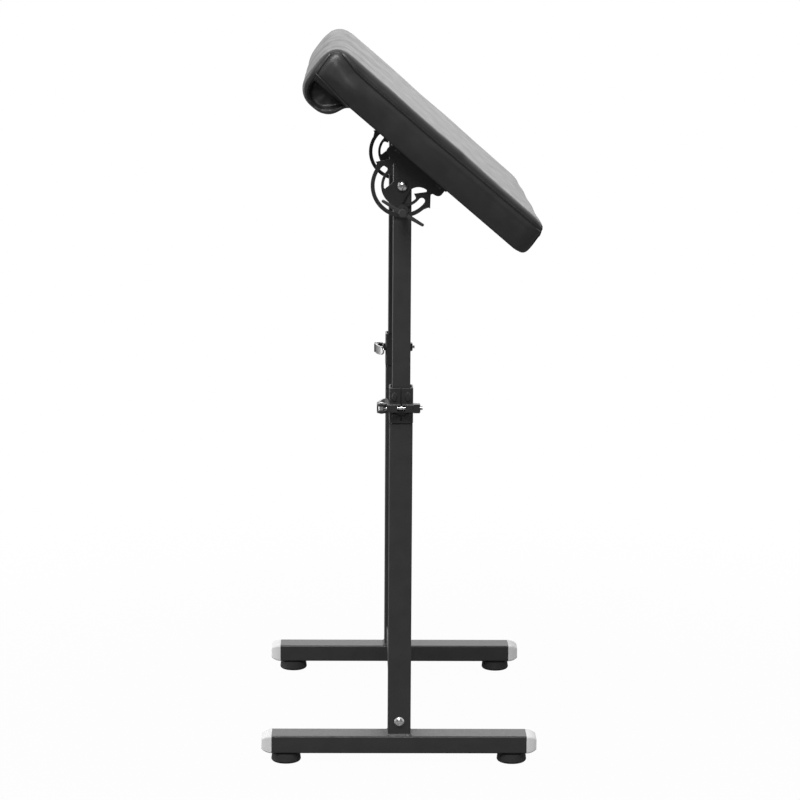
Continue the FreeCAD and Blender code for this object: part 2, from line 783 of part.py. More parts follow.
def bracket_window():
    """Window beside the tongue, with the inner barb of the arrow tip."""
    radius = band_inner_r
    top = board_underside
    start = scaled(window_start_shares, radius, top)
    rise = scaled(window_rise_shares, radius, top)
    crest, crest_mid, crest_end = [scaled(pair, radius, top) for pair in window_crest_shares]
    end_mid, end_low = [scaled(pair, radius, top) for pair in window_end_shares]
    barb_top, barb_tip, barb_low = [scaled(pair, radius, top) for pair in window_barb_shares]
    throat = scaled(window_throat_shares, radius, top)
    band_high = circle_point(radius, -window_band_high_share * radius)
    low_b = window_band_low_share * radius
    band_low = (low_b, -circle_point(radius, low_b)[0])
    turn = math.radians(window_band_turn)
    band_mid = (radius * math.cos(turn), radius * math.sin(turn))
    toe_mid, toe, side_mid = [scaled(pair, radius, radius) for pair in window_toe_shares]
    return [arc(start, rise, crest), arc(crest, crest_mid, crest_end),
            arc(crest_end, end_mid, end_low), line(end_low, barb_top),
            arc(barb_top, barb_tip, barb_low), line(barb_low, throat), line(throat, band_high),
            arc(band_high, band_mid, band_low), arc(band_low, toe_mid, toe),
            arc(toe, side_mid, start)]


def slot_outline():
    """Curved slot for the T handle's stud, centred on the pivot."""
    inner = slot_radius - slot_half_width
    outer = slot_radius + slot_half_width
    sweep = math.radians(slot_half_sweep)

    def at(radius, angle, along=0.0):
        x = radius * math.sin(angle) + along * math.cos(angle)
        n = -radius * math.cos(angle) + along * math.sin(angle)
        return (x, n)
    return Part.Wire([
        arc(at(inner, -sweep), at(inner, 0), at(inner, sweep)),
        arc(at(inner, sweep), at(slot_radius, sweep, slot_half_width), at(outer, sweep)),
        arc(at(outer, sweep), at(outer, 0), at(outer, -sweep)),
        arc(at(outer, -sweep), at(slot_radius, -sweep, -slot_half_width), at(inner, -sweep))])


def bracket_shape():
    """Slotted plate and its flange, drawn flat about the pivot for the far side."""
    def cutter(wire):
        face = Part.Face(in_side_view(wire, plate_inner - overrun))
        return face.extrude(V(0, plate_thickness + 2 * overrun, 0))
    plate = Part.Face(in_side_view(bracket_outline(), plate_inner))
    plate = plate.extrude(V(0, plate_thickness, 0))
    flange = box(-flange_half_length, flange_half_length, plate_inner,
                 plate_inner + flange_depth, board_underside - plate_thickness, board_underside)
    plate = plate.fuse(flange).removeSplitter()
    bend = [edge for edge in plate.Edges
            if abs(edge.BoundBox.ZMin - board_underside) < edge_tolerance
            and edge.BoundBox.YMax < plate_inner + edge_tolerance
            and edge.BoundBox.XLength > flange_half_length]
    plate = plate.makeFillet(bend_radius, bend)
    plate = plate.cut(cutter(slot_outline()))
    window = bracket_window()
    plate = plate.cut(cutter(Part.Wire(window)))
    other = Part.Wire(Part.__sortEdges__([mirrored_edge(edge) for edge in window]))
    plate = plate.cut(cutter(other))
    hole_d = bolt_d + pivot_fit
    start = V(0, plate_inner - overrun, 0)
    plate = plate.cut(rod(hole_d, start, Y_AXIS, plate_thickness + 2 * overrun))
    screw_hole = bracket_screw_d + 2 * screw_clear
    for sx in ENDS.values():
        start = V(sx * bracket_screw_spread, bracket_screw_out, board_underside - 2 * plate_thickness)
        plate = plate.cut(rod(screw_hole, start, Z_AXIS, 3 * plate_thickness))
    return plate


def brackets():
    shape = bracket_shape()
    pieces = {}
    for side, sy in SIDES.items():
        placed = shape.copy()
        if sy < 0:
            placed = placed.mirror(ORIGIN, Y_AXIS)
        placed.translate(V(0, sy * stand_y, 0))
        pieces["bracket_" + side] = on_pad(placed)
    return pieces


def pivot_parts():
    """Bolt, washers, spacer and nut at each tilt pivot, and the handle's nut."""
    bolts = {}
    washers = []
    spacers = []
    nuts = []
    stud_nuts = []
    for side, sy in SIDES.items():
        outward = V(0, sy, 0)
        centre = V(0, sy * stand_y, pivot_height)
        spacer_start = centre + outward * (tube_width / 2)
        spacers.append(washer(spacer_d, bolt_hole_d, spacer_thickness, spacer_start, outward))
        outer_seat = plate_outer + plate_gap
        washers.append(washer(washer_d, bolt_hole_d, washer_thickness,
                              centre + outward * outer_seat, outward))
        inner_start = centre - outward * (tube_width / 2 + washer_thickness)
        washers.append(washer(washer_d, bolt_hole_d, washer_thickness, inner_start, outward))
        nut_start = inner_start - outward * m8_nut_height
        nut = hexagon(m8_nut_width, m8_nut_height, nut_start, outward)
        bore = rod(thread_hole_d, nut_start - outward * overrun, outward,
                   m8_nut_height + 2 * overrun)
        nuts.append(nut.cut(bore))
        seat = outer_seat + washer_thickness
        shank = seat + tube_width / 2 + washer_thickness + m8_nut_height + stud_tip
        bolts["pivot_bolt_" + side] = button_bolt(centre + outward * seat, outward, shank)
        low = V(0, sy * stand_y, handle_z) + outward * (tube_bore / 2 - stud_nut_height)
        stud_nut = hexagon(m8_nut_width, stud_nut_height, low, outward)
        bore = rod(stud_d + 2 * stud_fit, low - outward * overrun, outward,
                   stud_nut_height + 2 * overrun)
        stud_nuts.append(stud_nut.cut(bore))
    pieces = {"pivot_washers": Part.makeCompound(washers),
              "pivot_spacers": Part.makeCompound(spacers),
              "pivot_nuts": Part.makeCompound(nuts),
              "stud_nuts": Part.makeCompound(stud_nuts)}
    pieces.update(bolts)
    return pieces


def t_handle_shape():
    """Clamping screw with a tapered cross bar, its seat at Z = 0, facing +Z."""
    stud_length = handle_seat - tube_bore / 2 + stud_nut_height + stud_tip
    stud = rod(stud_d, ORIGIN, Z_AXIS * -1, stud_length)
    flange = rod(handle_flange_d, ORIGIN, Z_AXIS, handle_flange_thickness)
    neck = rod(handle_neck_d, ORIGIN, Z_AXIS, handle_bar_offset)
    centre = V(0, 0, handle_bar_offset)
    hub = rod(handle_hub_d, centre - V(0, 0, handle_hub_height / 2), Z_AXIS, handle_hub_height)
    rims = [edge for edge in hub.Edges if edge.BoundBox.DiagonalLength > handle_hub_d
            and edge.BoundBox.ZLength < edge_tolerance]
    hub = hub.makeChamfer(handle_hub_chamfer, rims)
    body = stud.fuse(flange).fuse(neck).fuse(hub)
    tip_r = handle_bar_tip_d / 2
    taper = handle_bar_half - tip_r
    for sx in ENDS.values():
        arm = Part.makeCone(handle_bar_root_d / 2, tip_r, taper, centre, V(sx, 0, 0))
        tip = Part.makeSphere(tip_r, centre + V(sx * taper, 0, 0))
        body = body.fuse(arm).fuse(tip)
    return body.removeSplitter()


def t_handles():
    shape = t_handle_shape()
    pieces = {}
    for side, sy in SIDES.items():
        placed = turned(shape, ORIGIN, X_AXIS, -sy * quarter_turn)
        placed = turned(placed, ORIGIN, Y_AXIS, handle_rest_turn[side])
        placed.translate(V(0, sy * (stand_y + handle_seat), handle_z))
        pieces["t_handle_" + side] = placed
    return pieces


def slab_section(y, amount, crown):
    """Cushion section at a station; its base stays on the base plane."""
    def at(shares, down=amount, lift=0.0):
        if shares[0] < 0:
            b = shares[0] * nose_reach + amount
        else:
            b = shares[0] * heel_reach - amount
        return (b, board_underside + shares[1] * cushion_height - down + lift)

    def on_top(shares, lift=0.0):
        b = shares[0] * (nose_reach if shares[0] < 0 else heel_reach)
        return (b, board_underside + shares[1] * cushion_height - amount + lift)
    base_left = at(slab_base_left_shares, 0)
    face_low = at(slab_face_low_shares, 0)
    face_high = at(slab_face_high_shares, 0)
    nose = at(slab_nose_mid_shares)
    top_left = on_top(slab_top_left_shares)
    top_mid = on_top(slab_top_mid_shares, crown)
    top_right = on_top(slab_top_right_shares)
    heel = at(slab_heel_mid_shares)
    heel_low = at(slab_heel_low_shares, 0)
    end_mid = at(slab_end_mid_shares, 0)
    base_right = at(slab_base_right_shares, 0)
    wire = Part.Wire([
        arc(base_left, face_low, face_high), arc(face_high, nose, top_left),
        arc(top_left, top_mid, top_right), arc(top_right, heel, heel_low),
        arc(heel_low, end_mid, base_right), line(base_right, base_left)])
    return in_side_view(wire, y)


def roll_section(y, amount):
    """Roll section at a station, flat against the slab's base."""
    middle = (roll_left + roll_right) / 2

    def at(shares):
        b = roll_left + shares[0] * roll_width
        b += amount if b < middle else -amount
        return (b, roll_top - shares[1] * roll_depth + amount)
    left = (roll_left + amount, roll_top)
    right = (roll_right - amount, roll_top)
    low_left = at(roll_left_low_shares)
    low_right = at(roll_bottom_right_shares)
    wire = Part.Wire([
        arc(left, at(roll_left_mid_shares), low_left),
        arc(low_left, at(roll_bottom_mid_shares), low_right),
        arc(low_right, at(roll_right_mid_shares), right), line(right, left)])
    return in_side_view(wire, y)


def stations():
    """Places along the pad, from the near end to the far end, with their rounding."""
    near = [(-pad_half + inward * end_round, amount * end_round)
            for inward, amount in end_station_shares]
    middle = [(0.0, 0.0)]
    far = [(-y, amount) for y, amount in reversed(near)]
    return near + middle + far


def pad_parts():
    cushion_wires = []
    roll_wires = []
    for y, amount in stations():
        crown = cushion_crown * (1 - (y / pad_half) ** 2)
        cushion_wires.append(slab_section(y, amount, crown))
        roll_wires.append(roll_section(y, amount * roll_round_share))
    cushion = Part.makeLoft(cushion_wires, True, False)
    roll = Part.makeLoft(roll_wires, True, False)
    left = slab_base_left_shares[0] * nose_reach + rim_width
    right = slab_base_right_shares[0] * heel_reach - rim_width
    half = pad_half - rim_width - soft_clear
    pocket = box(left - soft_clear, right + soft_clear, -half - soft_clear, half + soft_clear,
                 board_underside - overrun, board_top)
    cushion = cushion.cut(pocket)
    board = box(left, right, -half, half, board_bottom, board_top)
    lining = box(roll_right + soft_clear, right, -half, half, board_underside, board_bottom)
    batten_half = pad_half - batten_end_clear
    batten = box(batten_left, batten_right, -batten_half, batten_half, batten_bottom, board_bottom)
    roll = roll.cut(box(batten_left - soft_clear, batten_right + soft_clear,
                        -batten_half - soft_clear, batten_half + soft_clear,
                        batten_bottom - soft_clear, roll_top + overrun))
    bracket_screws = []
    screw_hole_d = bracket_screw_d + 2 * screw_clear
    for sy in SIDES.values():
        for sx in ENDS.values():
            y = sy * (stand_y + bracket_screw_out)
            seat = V(sx * bracket_screw_spread, y, board_underside - plate_thickness)
            screw = rod(bracket_screw_d, seat, Z_AXIS, bracket_screw_length)
            head = rod(bracket_screw_head_d, seat, Z_AXIS * -1, bracket_screw_head_height)
            bracket_screws.append(screw.fuse(head))
            hole_start = seat + V(0, 0, plate_thickness - overrun)
            hole = rod(screw_hole_d, hole_start, Z_AXIS,
                       bracket_screw_length - plate_thickness + overrun + screw_clear)
            board = board.cut(hole)
            lining = lining.cut(hole)
    batten_screws = []
    for share in batten_screw_place_shares:
        seat = V((batten_left + batten_right) / 2, share * batten_half,
                 board_bottom + batten_screw_depth)
        length = batten_screw_depth + batten_height - batten_screw_cover
        batten_screws.append(rod(bracket_screw_d, seat, Z_AXIS * -1, length))
        hole = rod(screw_hole_d, seat + Z_AXIS * screw_clear, Z_AXIS * -1,
                   length + 2 * screw_clear)
        board = board.cut(hole)
        batten = batten.cut(hole)
    flat = {"pad_cushion": cushion, "pad_roll": roll, "pad_board": board, "pad_lining": lining,
            "roll_batten": batten, "bracket_screws": Part.makeCompound(bracket_screws),
            "batten_screws": Part.makeCompound(batten_screws)}
    return {name: on_pad(shape) for name, shape in flat.items()}


def all_parts():
    pieces = {}
    for group in (foot_bars(), rubber_feet(), foot_fasteners(), end_caps(), outer_posts(),
                  base_welds(), crossbar_parts(), clamps(), inner_tubes(), brackets(),
                  pivot_parts(), t_handles(), pad_parts()):
        pieces.update(group)
    return pieces


os.makedirs("parts", exist_ok=True)
for node, shape in all_parts().items():
    shape.exportStep("parts/" + node + ".step")
    size = shape.BoundBox
    print(node, len(shape.Solids), "solids, valid", shape.isValid(),
          "volume %.0f" % shape.Volume,
          "x %.1f %.1f y %.1f %.1f z %.1f %.1f" % (size.XMin, size.XMax, size.YMin, size.YMax,
                                                   size.ZMin, size.ZMax))
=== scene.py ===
# %% [markdown]
# # A tattoo artist's arm rest, dressed in Blender
# The stand is black powder coated steel tube with a few plastic, rubber and chrome
# fittings. Those hard pieces come ready from the CAD model. What Blender adds is the look
# of each surface, and the soft pad: a foam slab with a thick roll under its high edge,
# both in black vinyl. We load the CAD model first, because every new piece has to sit on it.

# %% Load the CAD model
import json
import math
import bmesh
import bpy
import numpy as np
from mathutils import Matrix, Vector
from mathutils.bvhtree import BVHTree


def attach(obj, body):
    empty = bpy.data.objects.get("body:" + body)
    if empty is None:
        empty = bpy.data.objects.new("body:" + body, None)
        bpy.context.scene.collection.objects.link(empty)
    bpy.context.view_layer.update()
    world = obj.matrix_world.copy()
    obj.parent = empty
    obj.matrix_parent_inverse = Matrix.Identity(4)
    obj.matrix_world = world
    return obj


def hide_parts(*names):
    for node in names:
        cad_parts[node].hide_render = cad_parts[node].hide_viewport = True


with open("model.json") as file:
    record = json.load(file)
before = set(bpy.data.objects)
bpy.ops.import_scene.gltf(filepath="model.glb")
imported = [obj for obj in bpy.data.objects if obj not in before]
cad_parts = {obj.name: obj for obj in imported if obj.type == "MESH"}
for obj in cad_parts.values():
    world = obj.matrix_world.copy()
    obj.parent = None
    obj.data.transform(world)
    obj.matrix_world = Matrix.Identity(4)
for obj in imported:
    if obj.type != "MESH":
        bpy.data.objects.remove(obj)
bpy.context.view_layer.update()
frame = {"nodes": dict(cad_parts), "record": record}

print("nodes:", len(frame["nodes"]))

# %% [markdown]
# ## The camera
# The photograph was taken from about four metres away and twenty centimetres above the
# stand's top, looking ten degrees down and almost exactly along the pad. A long lens from
# far away keeps the two posts nearly behind one another, as in a product catalogue. The
# camera was held a third of a degree out of level, so it gets that small roll about its
# own axis too.

# %% Camera at the photograph's place
CAMERA_PLACE = (-0.064, -4.142, 1.196)
LENS_MM, FILM_MM = 129.7, 36.0
HEADING, PITCH, LEAN = math.radians(-0.921), math.radians(80.06), math.radians(0.35)
camera_data = bpy.data.cameras.new("photo_camera")
camera_data.lens = LENS_MM
camera_data.sensor_width = FILM_MM
camera = bpy.data.objects.new("photo_camera", camera_data)
camera.location = CAMERA_PLACE
turn = (Matrix.Rotation(HEADING, 3, "Z") @ Matrix.Rotation(PITCH, 3, "X")
        @ Matrix.Rotation(LEAN, 3, "Z"))
camera.rotation_euler = turn.to_euler()
bpy.context.scene.collection.objects.link(camera)
bpy.context.scene.camera = camera
bpy.context.scene.view_settings.view_transform = "Standard"
print("camera", tuple(round(v, 3) for v in camera.location), "lens", camera_data.lens)

# %% [markdown]
# ## The light
# Black things show their shape by what they reflect. In a packshot studio the white paper
# is behind and beside the object, and the room behind the photographer is dim, so faces
# that look at the camera stay dark while edges and tops catch the paper. The world below
# does that: the camera sees plain white, and a reflection sees white paper behind the
# stand that fades to a grey room in front of it. Matt surfaces get an even, weaker fill.

# %% A white studio with a dim room in front
PAPER, ROOM, FILL = 1.0, 0.16, 0.38
ROOM_UNTIL, PAPER_FROM = -0.70, 0.30
world = bpy.data.worlds.new("white_studio")
bpy.context.scene.world = world
world.use_nodes = True
nodes, links = world.node_tree.nodes, world.node_tree.links
nodes.clear()


def plain_light(name, strength):
    """White light of one strength from all round."""
    node = nodes.new("ShaderNodeBackground")
    node.name = name
    node.inputs["Color"].default_value = (1, 1, 1, 1)
    node.inputs["Strength"].default_value = strength
    return node


def blend_light(factor, first, second):
    """The first light where the factor is zero, the second where it is one."""
    node = nodes.new("ShaderNodeMixShader")
    links.new(factor, node.inputs[0])
    links.new(first, node.inputs[1])
    links.new(second, node.inputs[2])
    return node.outputs[0]


paper_light = plain_light("white_paper", PAPER)
room_light = plain_light("dim_room", ROOM)
fill_light = plain_light("fill", FILL)
path = nodes.new("ShaderNodeLightPath")
where = nodes.new("ShaderNodeTexCoord")
split = nodes.new("ShaderNodeSeparateXYZ")
links.new(where.outputs["Generated"], split.inputs[0])
backness = nodes.new("ShaderNodeMapRange")
backness.interpolation_type = "SMOOTHSTEP"
backness.inputs["From Min"].default_value = ROOM_UNTIL
backness.inputs["From Max"].default_value = PAPER_FROM
links.new(split.outputs["Y"], backness.inputs["Value"])
reflected = blend_light(backness.outputs["Result"], room_light.outputs[0], paper_light.outputs[0])
lit = blend_light(path.outputs["Is Glossy Ray"], fill_light.outputs[0], reflected)
clear = nodes.new("ShaderNodeMath")
clear.operation = "MAXIMUM"
links.new(path.outputs["Is Camera Ray"], clear.inputs[0])
links.new(path.outputs["Is Transmission Ray"], clear.inputs[1])
world_out = nodes.new("ShaderNodeOutputWorld")
links.new(blend_light(clear.outputs[0], lit, paper_light.outputs[0]), world_out.inputs["Surface"])
print("world nodes:", len(nodes))

# %% [markdown]
# ## Lamps
# Four soft boxes. The strongest hangs high in front, a little to the left, and shapes the
# fronts. A large faint one overhead lifts everything that looks up. A tall strip lights
# the left side of each tube, and a wide one behind adds to the pale sheen on the pad's top.

# %% Soft boxes
def softbox(name, place, aim, width, height, power):
    """A rectangular area lamp that faces a point and stays out of the picture."""
    data = bpy.data.lights.new(name, "AREA")
    data.shape = "RECTANGLE"
    data.size = width
    data.size_y = height
    data.energy = power
    lamp = bpy.data.objects.new(name, data)
    lamp.location = place
    lamp.rotation_euler = (Vector(aim) - Vector(place)).to_track_quat("-Z", "Y").to_euler()
    lamp.visible_camera = False
    bpy.context.scene.collection.objects.link(lamp)
    print(name, "watts", power)
    return lamp


softbox("overhead_softbox", (0.7, 0.2, 3.0), (0, 0, 0.6), 2.4, 2.4, 10)
softbox("front_softbox", (-0.4, -1.9, 2.6), (0, 0, 0.7), 1.0, 1.2, 60)
softbox("left_strip", (-2.3, 0.5, 0.8), (0, 0, 0.5), 1.0, 2.8, 33)
softbox("back_softbox", (0.5, 3.0, 1.6), (0, 0, 0.8), 2.6, 1.6, 13)

# %% [markdown]
# ## The floor
# A packshot stands on a white sweep. The floor keeps the soft shadow under the feet. What
# the camera sees of it is mostly plain white, and fully white further out, so no horizon
# line shows behind the stand.

# %% White floor
FLOOR_RADIUS = 7.0
PAPER_GREY = 0.30
NEAR_WHITE, NEAR_REACH, FAR_REACH = 0.975, 0.35, 1.6
bm = bmesh.new()
bmesh.ops.create_circle(bm, cap_ends=True, segments=64, radius=FLOOR_RADIUS)
floor_mesh = bpy.data.meshes.new("floor")
bm.to_mesh(floor_mesh)
bm.free()
floor = bpy.data.objects.new("floor", floor_mesh)
bpy.context.scene.collection.objects.link(floor)
floor_finish = bpy.data.materials.new("white_sweep")
floor_finish.use_nodes = True
nodes, links = floor_finish.node_tree.nodes, floor_finish.node_tree.links
nodes.clear()
floor_out = nodes.new("ShaderNodeOutputMaterial")
paper = nodes.new("ShaderNodeBsdfDiffuse")
paper.inputs["Color"].default_value = (PAPER_GREY, PAPER_GREY, PAPER_GREY, 1)
glow = nodes.new("ShaderNodeEmission")
glow.inputs["Strength"].default_value = 1.0
where = nodes.new("ShaderNodeTexCoord")
distance = nodes.new("ShaderNodeVectorMath")
distance.operation = "LENGTH"
links.new(where.outputs["Object"], distance.inputs[0])
far_share = nodes.new("ShaderNodeMapRange")
far_share.interpolation_type = "SMOOTHSTEP"
far_share.inputs["From Min"].default_value = NEAR_REACH
far_share.inputs["From Max"].default_value = FAR_REACH
far_share.inputs["To Min"].default_value = NEAR_WHITE
far_share.inputs["To Max"].default_value = 1.0
links.new(distance.outputs["Value"], far_share.inputs["Value"])
path = nodes.new("ShaderNodeLightPath")
seen_share = nodes.new("ShaderNodeMath")
seen_share.operation = "MULTIPLY"
links.new(path.outputs["Is Camera Ray"], seen_share.inputs[0])
links.new(far_share.outputs["Result"], seen_share.inputs[1])
sweep = nodes.new("ShaderNodeMixShader")
links.new(seen_share.outputs[0], sweep.inputs[0])
links.new(paper.outputs[0], sweep.inputs[1])
links.new(glow.outputs[0], sweep.inputs[2])
links.new(sweep.outputs[0], floor_out.inputs["Surface"])
floor.data.materials.append(floor_finish)
print("floor radius", FLOOR_RADIUS, "m")

# %% [markdown]
# ## Building blocks for the finishes
# A real surface is never one flat colour. Each finish below is a Principled shader whose
# colour, roughness and fine relief come from noise at a real size in millimetres. The
# noise reads Object coordinates, which are metres on this model, so a grain of one
# millimetre is a scale of a thousand. These helpers keep each finish short.

# %% Helpers for the finishes
def start_finish(name, colour, roughness, metallic=0.0):
    """A new material with one Principled shader; gives the material and its parts."""
    material = bpy.data.materials.new(name)
    material.use_nodes = True
    tree = material.node_tree
    tree.nodes.clear()
    out = tree.nodes.new("ShaderNodeOutputMaterial")
    shader = tree.nodes.new("ShaderNodeBsdfPrincipled")
    shader.inputs["Base Color"].default_value = (*colour, 1)
    shader.inputs["Roughness"].default_value = roughness
    shader.inputs["Metallic"].default_value = metallic
    tree.links.new(shader.outputs[0], out.inputs["Surface"])
    return material, tree, shader


def place(tree, stretch=(1, 1, 1), turn=(0, 0, 0), centre=(0, 0, 0)):
    """Object coordinates, centred, turned and stretched."""
    coordinates = tree.nodes.new("ShaderNodeTexCoord")
    mapping = tree.nodes.new("ShaderNodeMapping")
    mapping.vector_type = "TEXTURE"
    mapping.inputs["Location"].default_value = centre
    mapping.inputs["Rotation"].default_value = turn
    mapping.inputs["Scale"].default_value = stretch
    tree.links.new(coordinates.outputs["Object"], mapping.inputs["Vector"])
    return mapping.outputs[0]


def noise(tree, where, size_mm, detail=2.0):
    """Cloudy noise whose blobs are about size_mm across."""
    node = tree.nodes.new("ShaderNodeTexNoise")
    node.inputs["Scale"].default_value = 1000.0 / size_mm
    node.inputs["Detail"].default_value = detail
    tree.links.new(where, node.inputs["Vector"])
    return node.outputs["Fac"]


def between(tree, factor, low, high, start=0.3, end=0.7):
    """Maps a factor to a range of numbers."""
    node = tree.nodes.new("ShaderNodeMapRange")
    node.inputs["From Min"].default_value = start
    node.inputs["From Max"].default_value = end
    node.inputs["To Min"].default_value = low
    node.inputs["To Max"].default_value = high
    tree.links.new(factor, node.inputs["Value"])
    return node.outputs["Result"]


def colours(tree, factor, first, second, start=0.3, end=0.7):
    """Blends two colours by a factor."""
    node = tree.nodes.new("ShaderNodeValToRGB")
    node.color_ramp.elements[0].position = start
    node.color_ramp.elements[0].color = (*first, 1)
    node.color_ramp.elements[1].position = end
    node.color_ramp.elements[1].color = (*second, 1)
    tree.links.new(factor, node.inputs["Fac"])
    return node.outputs["Color"]


def relief(tree, shader, height, depth_mm, under=None):
    """Bump from a height; under is a bump that lies below this one."""
    node = tree.nodes.new("ShaderNodeBump")
    node.inputs["Strength"].default_value = 1.0
    node.inputs["Distance"].default_value = depth_mm / 1000.0
    tree.links.new(height, node.inputs["Height"])
    if under is not None:
        tree.links.new(under, node.inputs["Normal"])
    tree.links.new(node.outputs["Normal"], shader.inputs["Normal"])
    return node.outputs["Normal"]


print("finish helpers ready")

# %% [markdown]
# ## Powder coat
# The tubes, bars and brackets are sprayed with powder and baked. The melted powder leaves
# a satin black skin with a very fine orange peel. A bracket cut from plate gets the same
# coat a little duller. A cast handle has a rougher skin below a glossier paint.

# %% Powder coat finishes
def powder_coat(name, colour, roughness, peel_mm, depth_mm):
    """Paint with faint clouds in its colour, specks in its gloss, and an orange peel."""
    cloud_mm, speck_mm, paler = 22.0, 3.0, 1.22
    material, tree, shader = start_finish(name, colour, roughness)
    where = place(tree)
    cloud = noise(tree, where, cloud_mm, 3.0)
    tint = colours(tree, cloud, colour, [c * paler for c in colour])
    tree.links.new(tint, shader.inputs["Base Color"])
    speck = noise(tree, where, speck_mm, 4.0)
    gloss = between(tree, speck, roughness - 0.02, roughness + 0.03)
    tree.links.new(gloss, shader.inputs["Roughness"])
    relief(tree, shader, noise(tree, where, peel_mm, 2.0), depth_mm)
    shader.inputs["Specular IOR Level"].default_value = 0.5
    print(name, "ready")
    return material


tube_coat = powder_coat("satin_black_tube", (0.027, 0.027, 0.0285), 0.39, 1.1, 0.006)
bracket_coat = powder_coat("black_bracket_plate", (0.013, 0.013, 0.014), 0.45, 0.9, 0.02)
handle_coat = powder_coat("black_cast_handle", (0.035, 0.035, 0.036), 0.16, 1.6, 0.03)
washer_coat = powder_coat("black_washer", (0.02, 0.02, 0.02), 0.35, 0.5, 0.01)

# %% [markdown]
# ## Moulded plastic and rubber
# The collars, cams, block nuts and plugs are black nylon from a spark-eroded mould, which
# prints its fine grain on them. The end caps are the same kind of moulding in pale grey,
# and the feet are rubber with a dull skin that picks up a little dust.

# %% Plastic and rubber finishes
def moulded(name, colour, roughness, grain_mm, depth_mm, uneven=1.15):
    """Plastic or rubber with faint clouds, patches of gloss, and the mould's fine grain."""
    cloud_mm, patch_mm = 14.0, 5.0
    material, tree, shader = start_finish(name, colour, roughness)
    where = place(tree)
    cloud = noise(tree, where, cloud_mm, 3.0)
    tint = colours(tree, cloud, colour, [c * uneven for c in colour])
    tree.links.new(tint, shader.inputs["Base Color"])
    gloss = between(tree, noise(tree, where, patch_mm), roughness - 0.04, roughness + 0.06)
    tree.links.new(gloss, shader.inputs["Roughness"])
    relief(tree, shader, noise(tree, where, grain_mm, 3.0), depth_mm)
    print(name, "ready")
    return material


black_nylon = moulded("black_nylon", (0.022, 0.022, 0.023), 0.34, 0.5, 0.012)
cap_plastic = moulded("pale_grey_cap", (0.76, 0.76, 0.76), 0.56, 0.8, 0.02, 1.04)
foot_rubber = moulded("foot_rubber", (0.018, 0.018, 0.018), 0.72, 0.7, 0.05, 1.5)

# %% [markdown]
# ## Bare metal
# Chrome on the bolts is nearly a mirror with faint polishing haze. The lever blades and
# the hidden zinc plated fasteners are duller, with fine lines from rolling and brushing,
# drawn as noise that is stretched along one direction.

# %% Metal finishes
def bare_metal(name, colour, low, high, line_mm, depth_mm, stretch):
    """Metal whose roughness goes from low to high along fine stretched lines."""
    haze_mm, darker = 9.0, 0.92
    material, tree, shader = start_finish(name, colour, high, 1.0)
    lines = noise(tree, place(tree, stretch), line_mm, 3.0)
    tree.links.new(between(tree, lines, low, high), shader.inputs["Roughness"])
    haze = noise(tree, place(tree), haze_mm, 2.0)
    tint = colours(tree, haze, [c * darker for c in colour], colour)
    tree.links.new(tint, shader.inputs["Base Color"])
    relief(tree, shader, lines, depth_mm)
    print(name, "ready")
    return material


chrome = bare_metal("bright_chrome", (0.8, 0.8, 0.81), 0.17, 0.26, 2.0, 0.004, (1, 1, 1))
lever_steel = bare_metal("plated_lever", (0.5, 0.5, 0.5), 0.3, 0.4, 0.6, 0.003, (8, 8, 1))
zinc = bare_metal("zinc_plated", (0.6, 0.6, 0.57), 0.28, 0.42, 0.8, 0.01, (1, 6, 1))

# %% [markdown]
# ## Plywood
# The board and the batten inside the pad are birch plywood: pale wood with long fibres
# along the pad. Both lie hidden under vinyl and lining, so this finish only has to hold if
# someone opens the pad.

# %% Plywood finish
plywood, tree, shader = start_finish("birch_plywood", (0.5, 0.38, 0.24), 0.65)
fibre = noise(tree, place(tree, (1, 14, 1)), 1.6, 4.0)
tint = colours(tree, fibre, (0.42, 0.3, 0.18), (0.58, 0.45, 0.3))
tree.links.new(tint, shader.inputs["Base Color"])
relief(tree, shader, fibre, 0.05)
print("plywood ready")

# %% [markdown]
# ## Which finish goes where
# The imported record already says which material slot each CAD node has, so the table below
# only joins slots to finishes. That way no node can be forgotten. The weld beads get the
# same coat over coarser ripples, since powder doesn't hide the steps of a weld.

# %% Put the finishes on the CAD nodes
finish_of = {
    "powder_coat": tube_coat, "bracket_coat": bracket_coat, "handle_coat": handle_coat,
    "washer_coat": washer_coat, "rubber": foot_rubber, "cap_plastic": cap_plastic,
    "black_plastic": black_nylon, "lever_steel": lever_steel, "chrome": chrome,
    "zinc_steel": zinc, "plywood": plywood}
for part in frame["record"]["subparts"]:
    finish = finish_of.get(part["material_slot"])
    if finish is not None:
        mesh = frame["nodes"][part["node"]].data
        mesh.materials.clear()
        mesh.materials.append(finish)
weld_coat = powder_coat("powder_coat_on_weld", (0.034, 0.034, 0.036), 0.4, 2.4, 0.5)
frame["nodes"]["base_welds"].data.materials[0] = weld_coat
print("finishes on CAD nodes:", len(finish_of) + 1)

# %% [markdown]
# ## Where the pad lies
# The pad is easier to shape lying flat, with its long way along Y, and then tip up as one
# piece: 40.3 degrees about the pivot bolts. In this flat place b runs across the pad from
# the high side to the low side, and n is the height above the pivot bolts.

# %% The pad's own frame
PAD_TILT = math.radians(40.3)
PIVOT_HEIGHT = 0.8095
UNDERSIDE = 0.036
HALF_LENGTH = 0.3135
tip_up = Matrix.Translation((0, 0, PIVOT_HEIGHT)) @ Matrix.Rotation(PAD_TILT, 4, "Y")


def add_piece(bm, name, body, finish):
    """Tips a flat shape up on to the stand and makes it a piece."""
    bmesh.ops.transform(bm, matrix=tip_up, verts=bm.verts)
    mesh = bpy.data.meshes.new(name)
    bm.to_mesh(mesh)
    bm.free()
    piece = bpy.data.objects.new(name, mesh)
    bpy.context.scene.collection.objects.link(piece)
    mesh.materials.append(finish)
    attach(piece, body)
    print(name, len(mesh.polygons), "faces")
    return piece


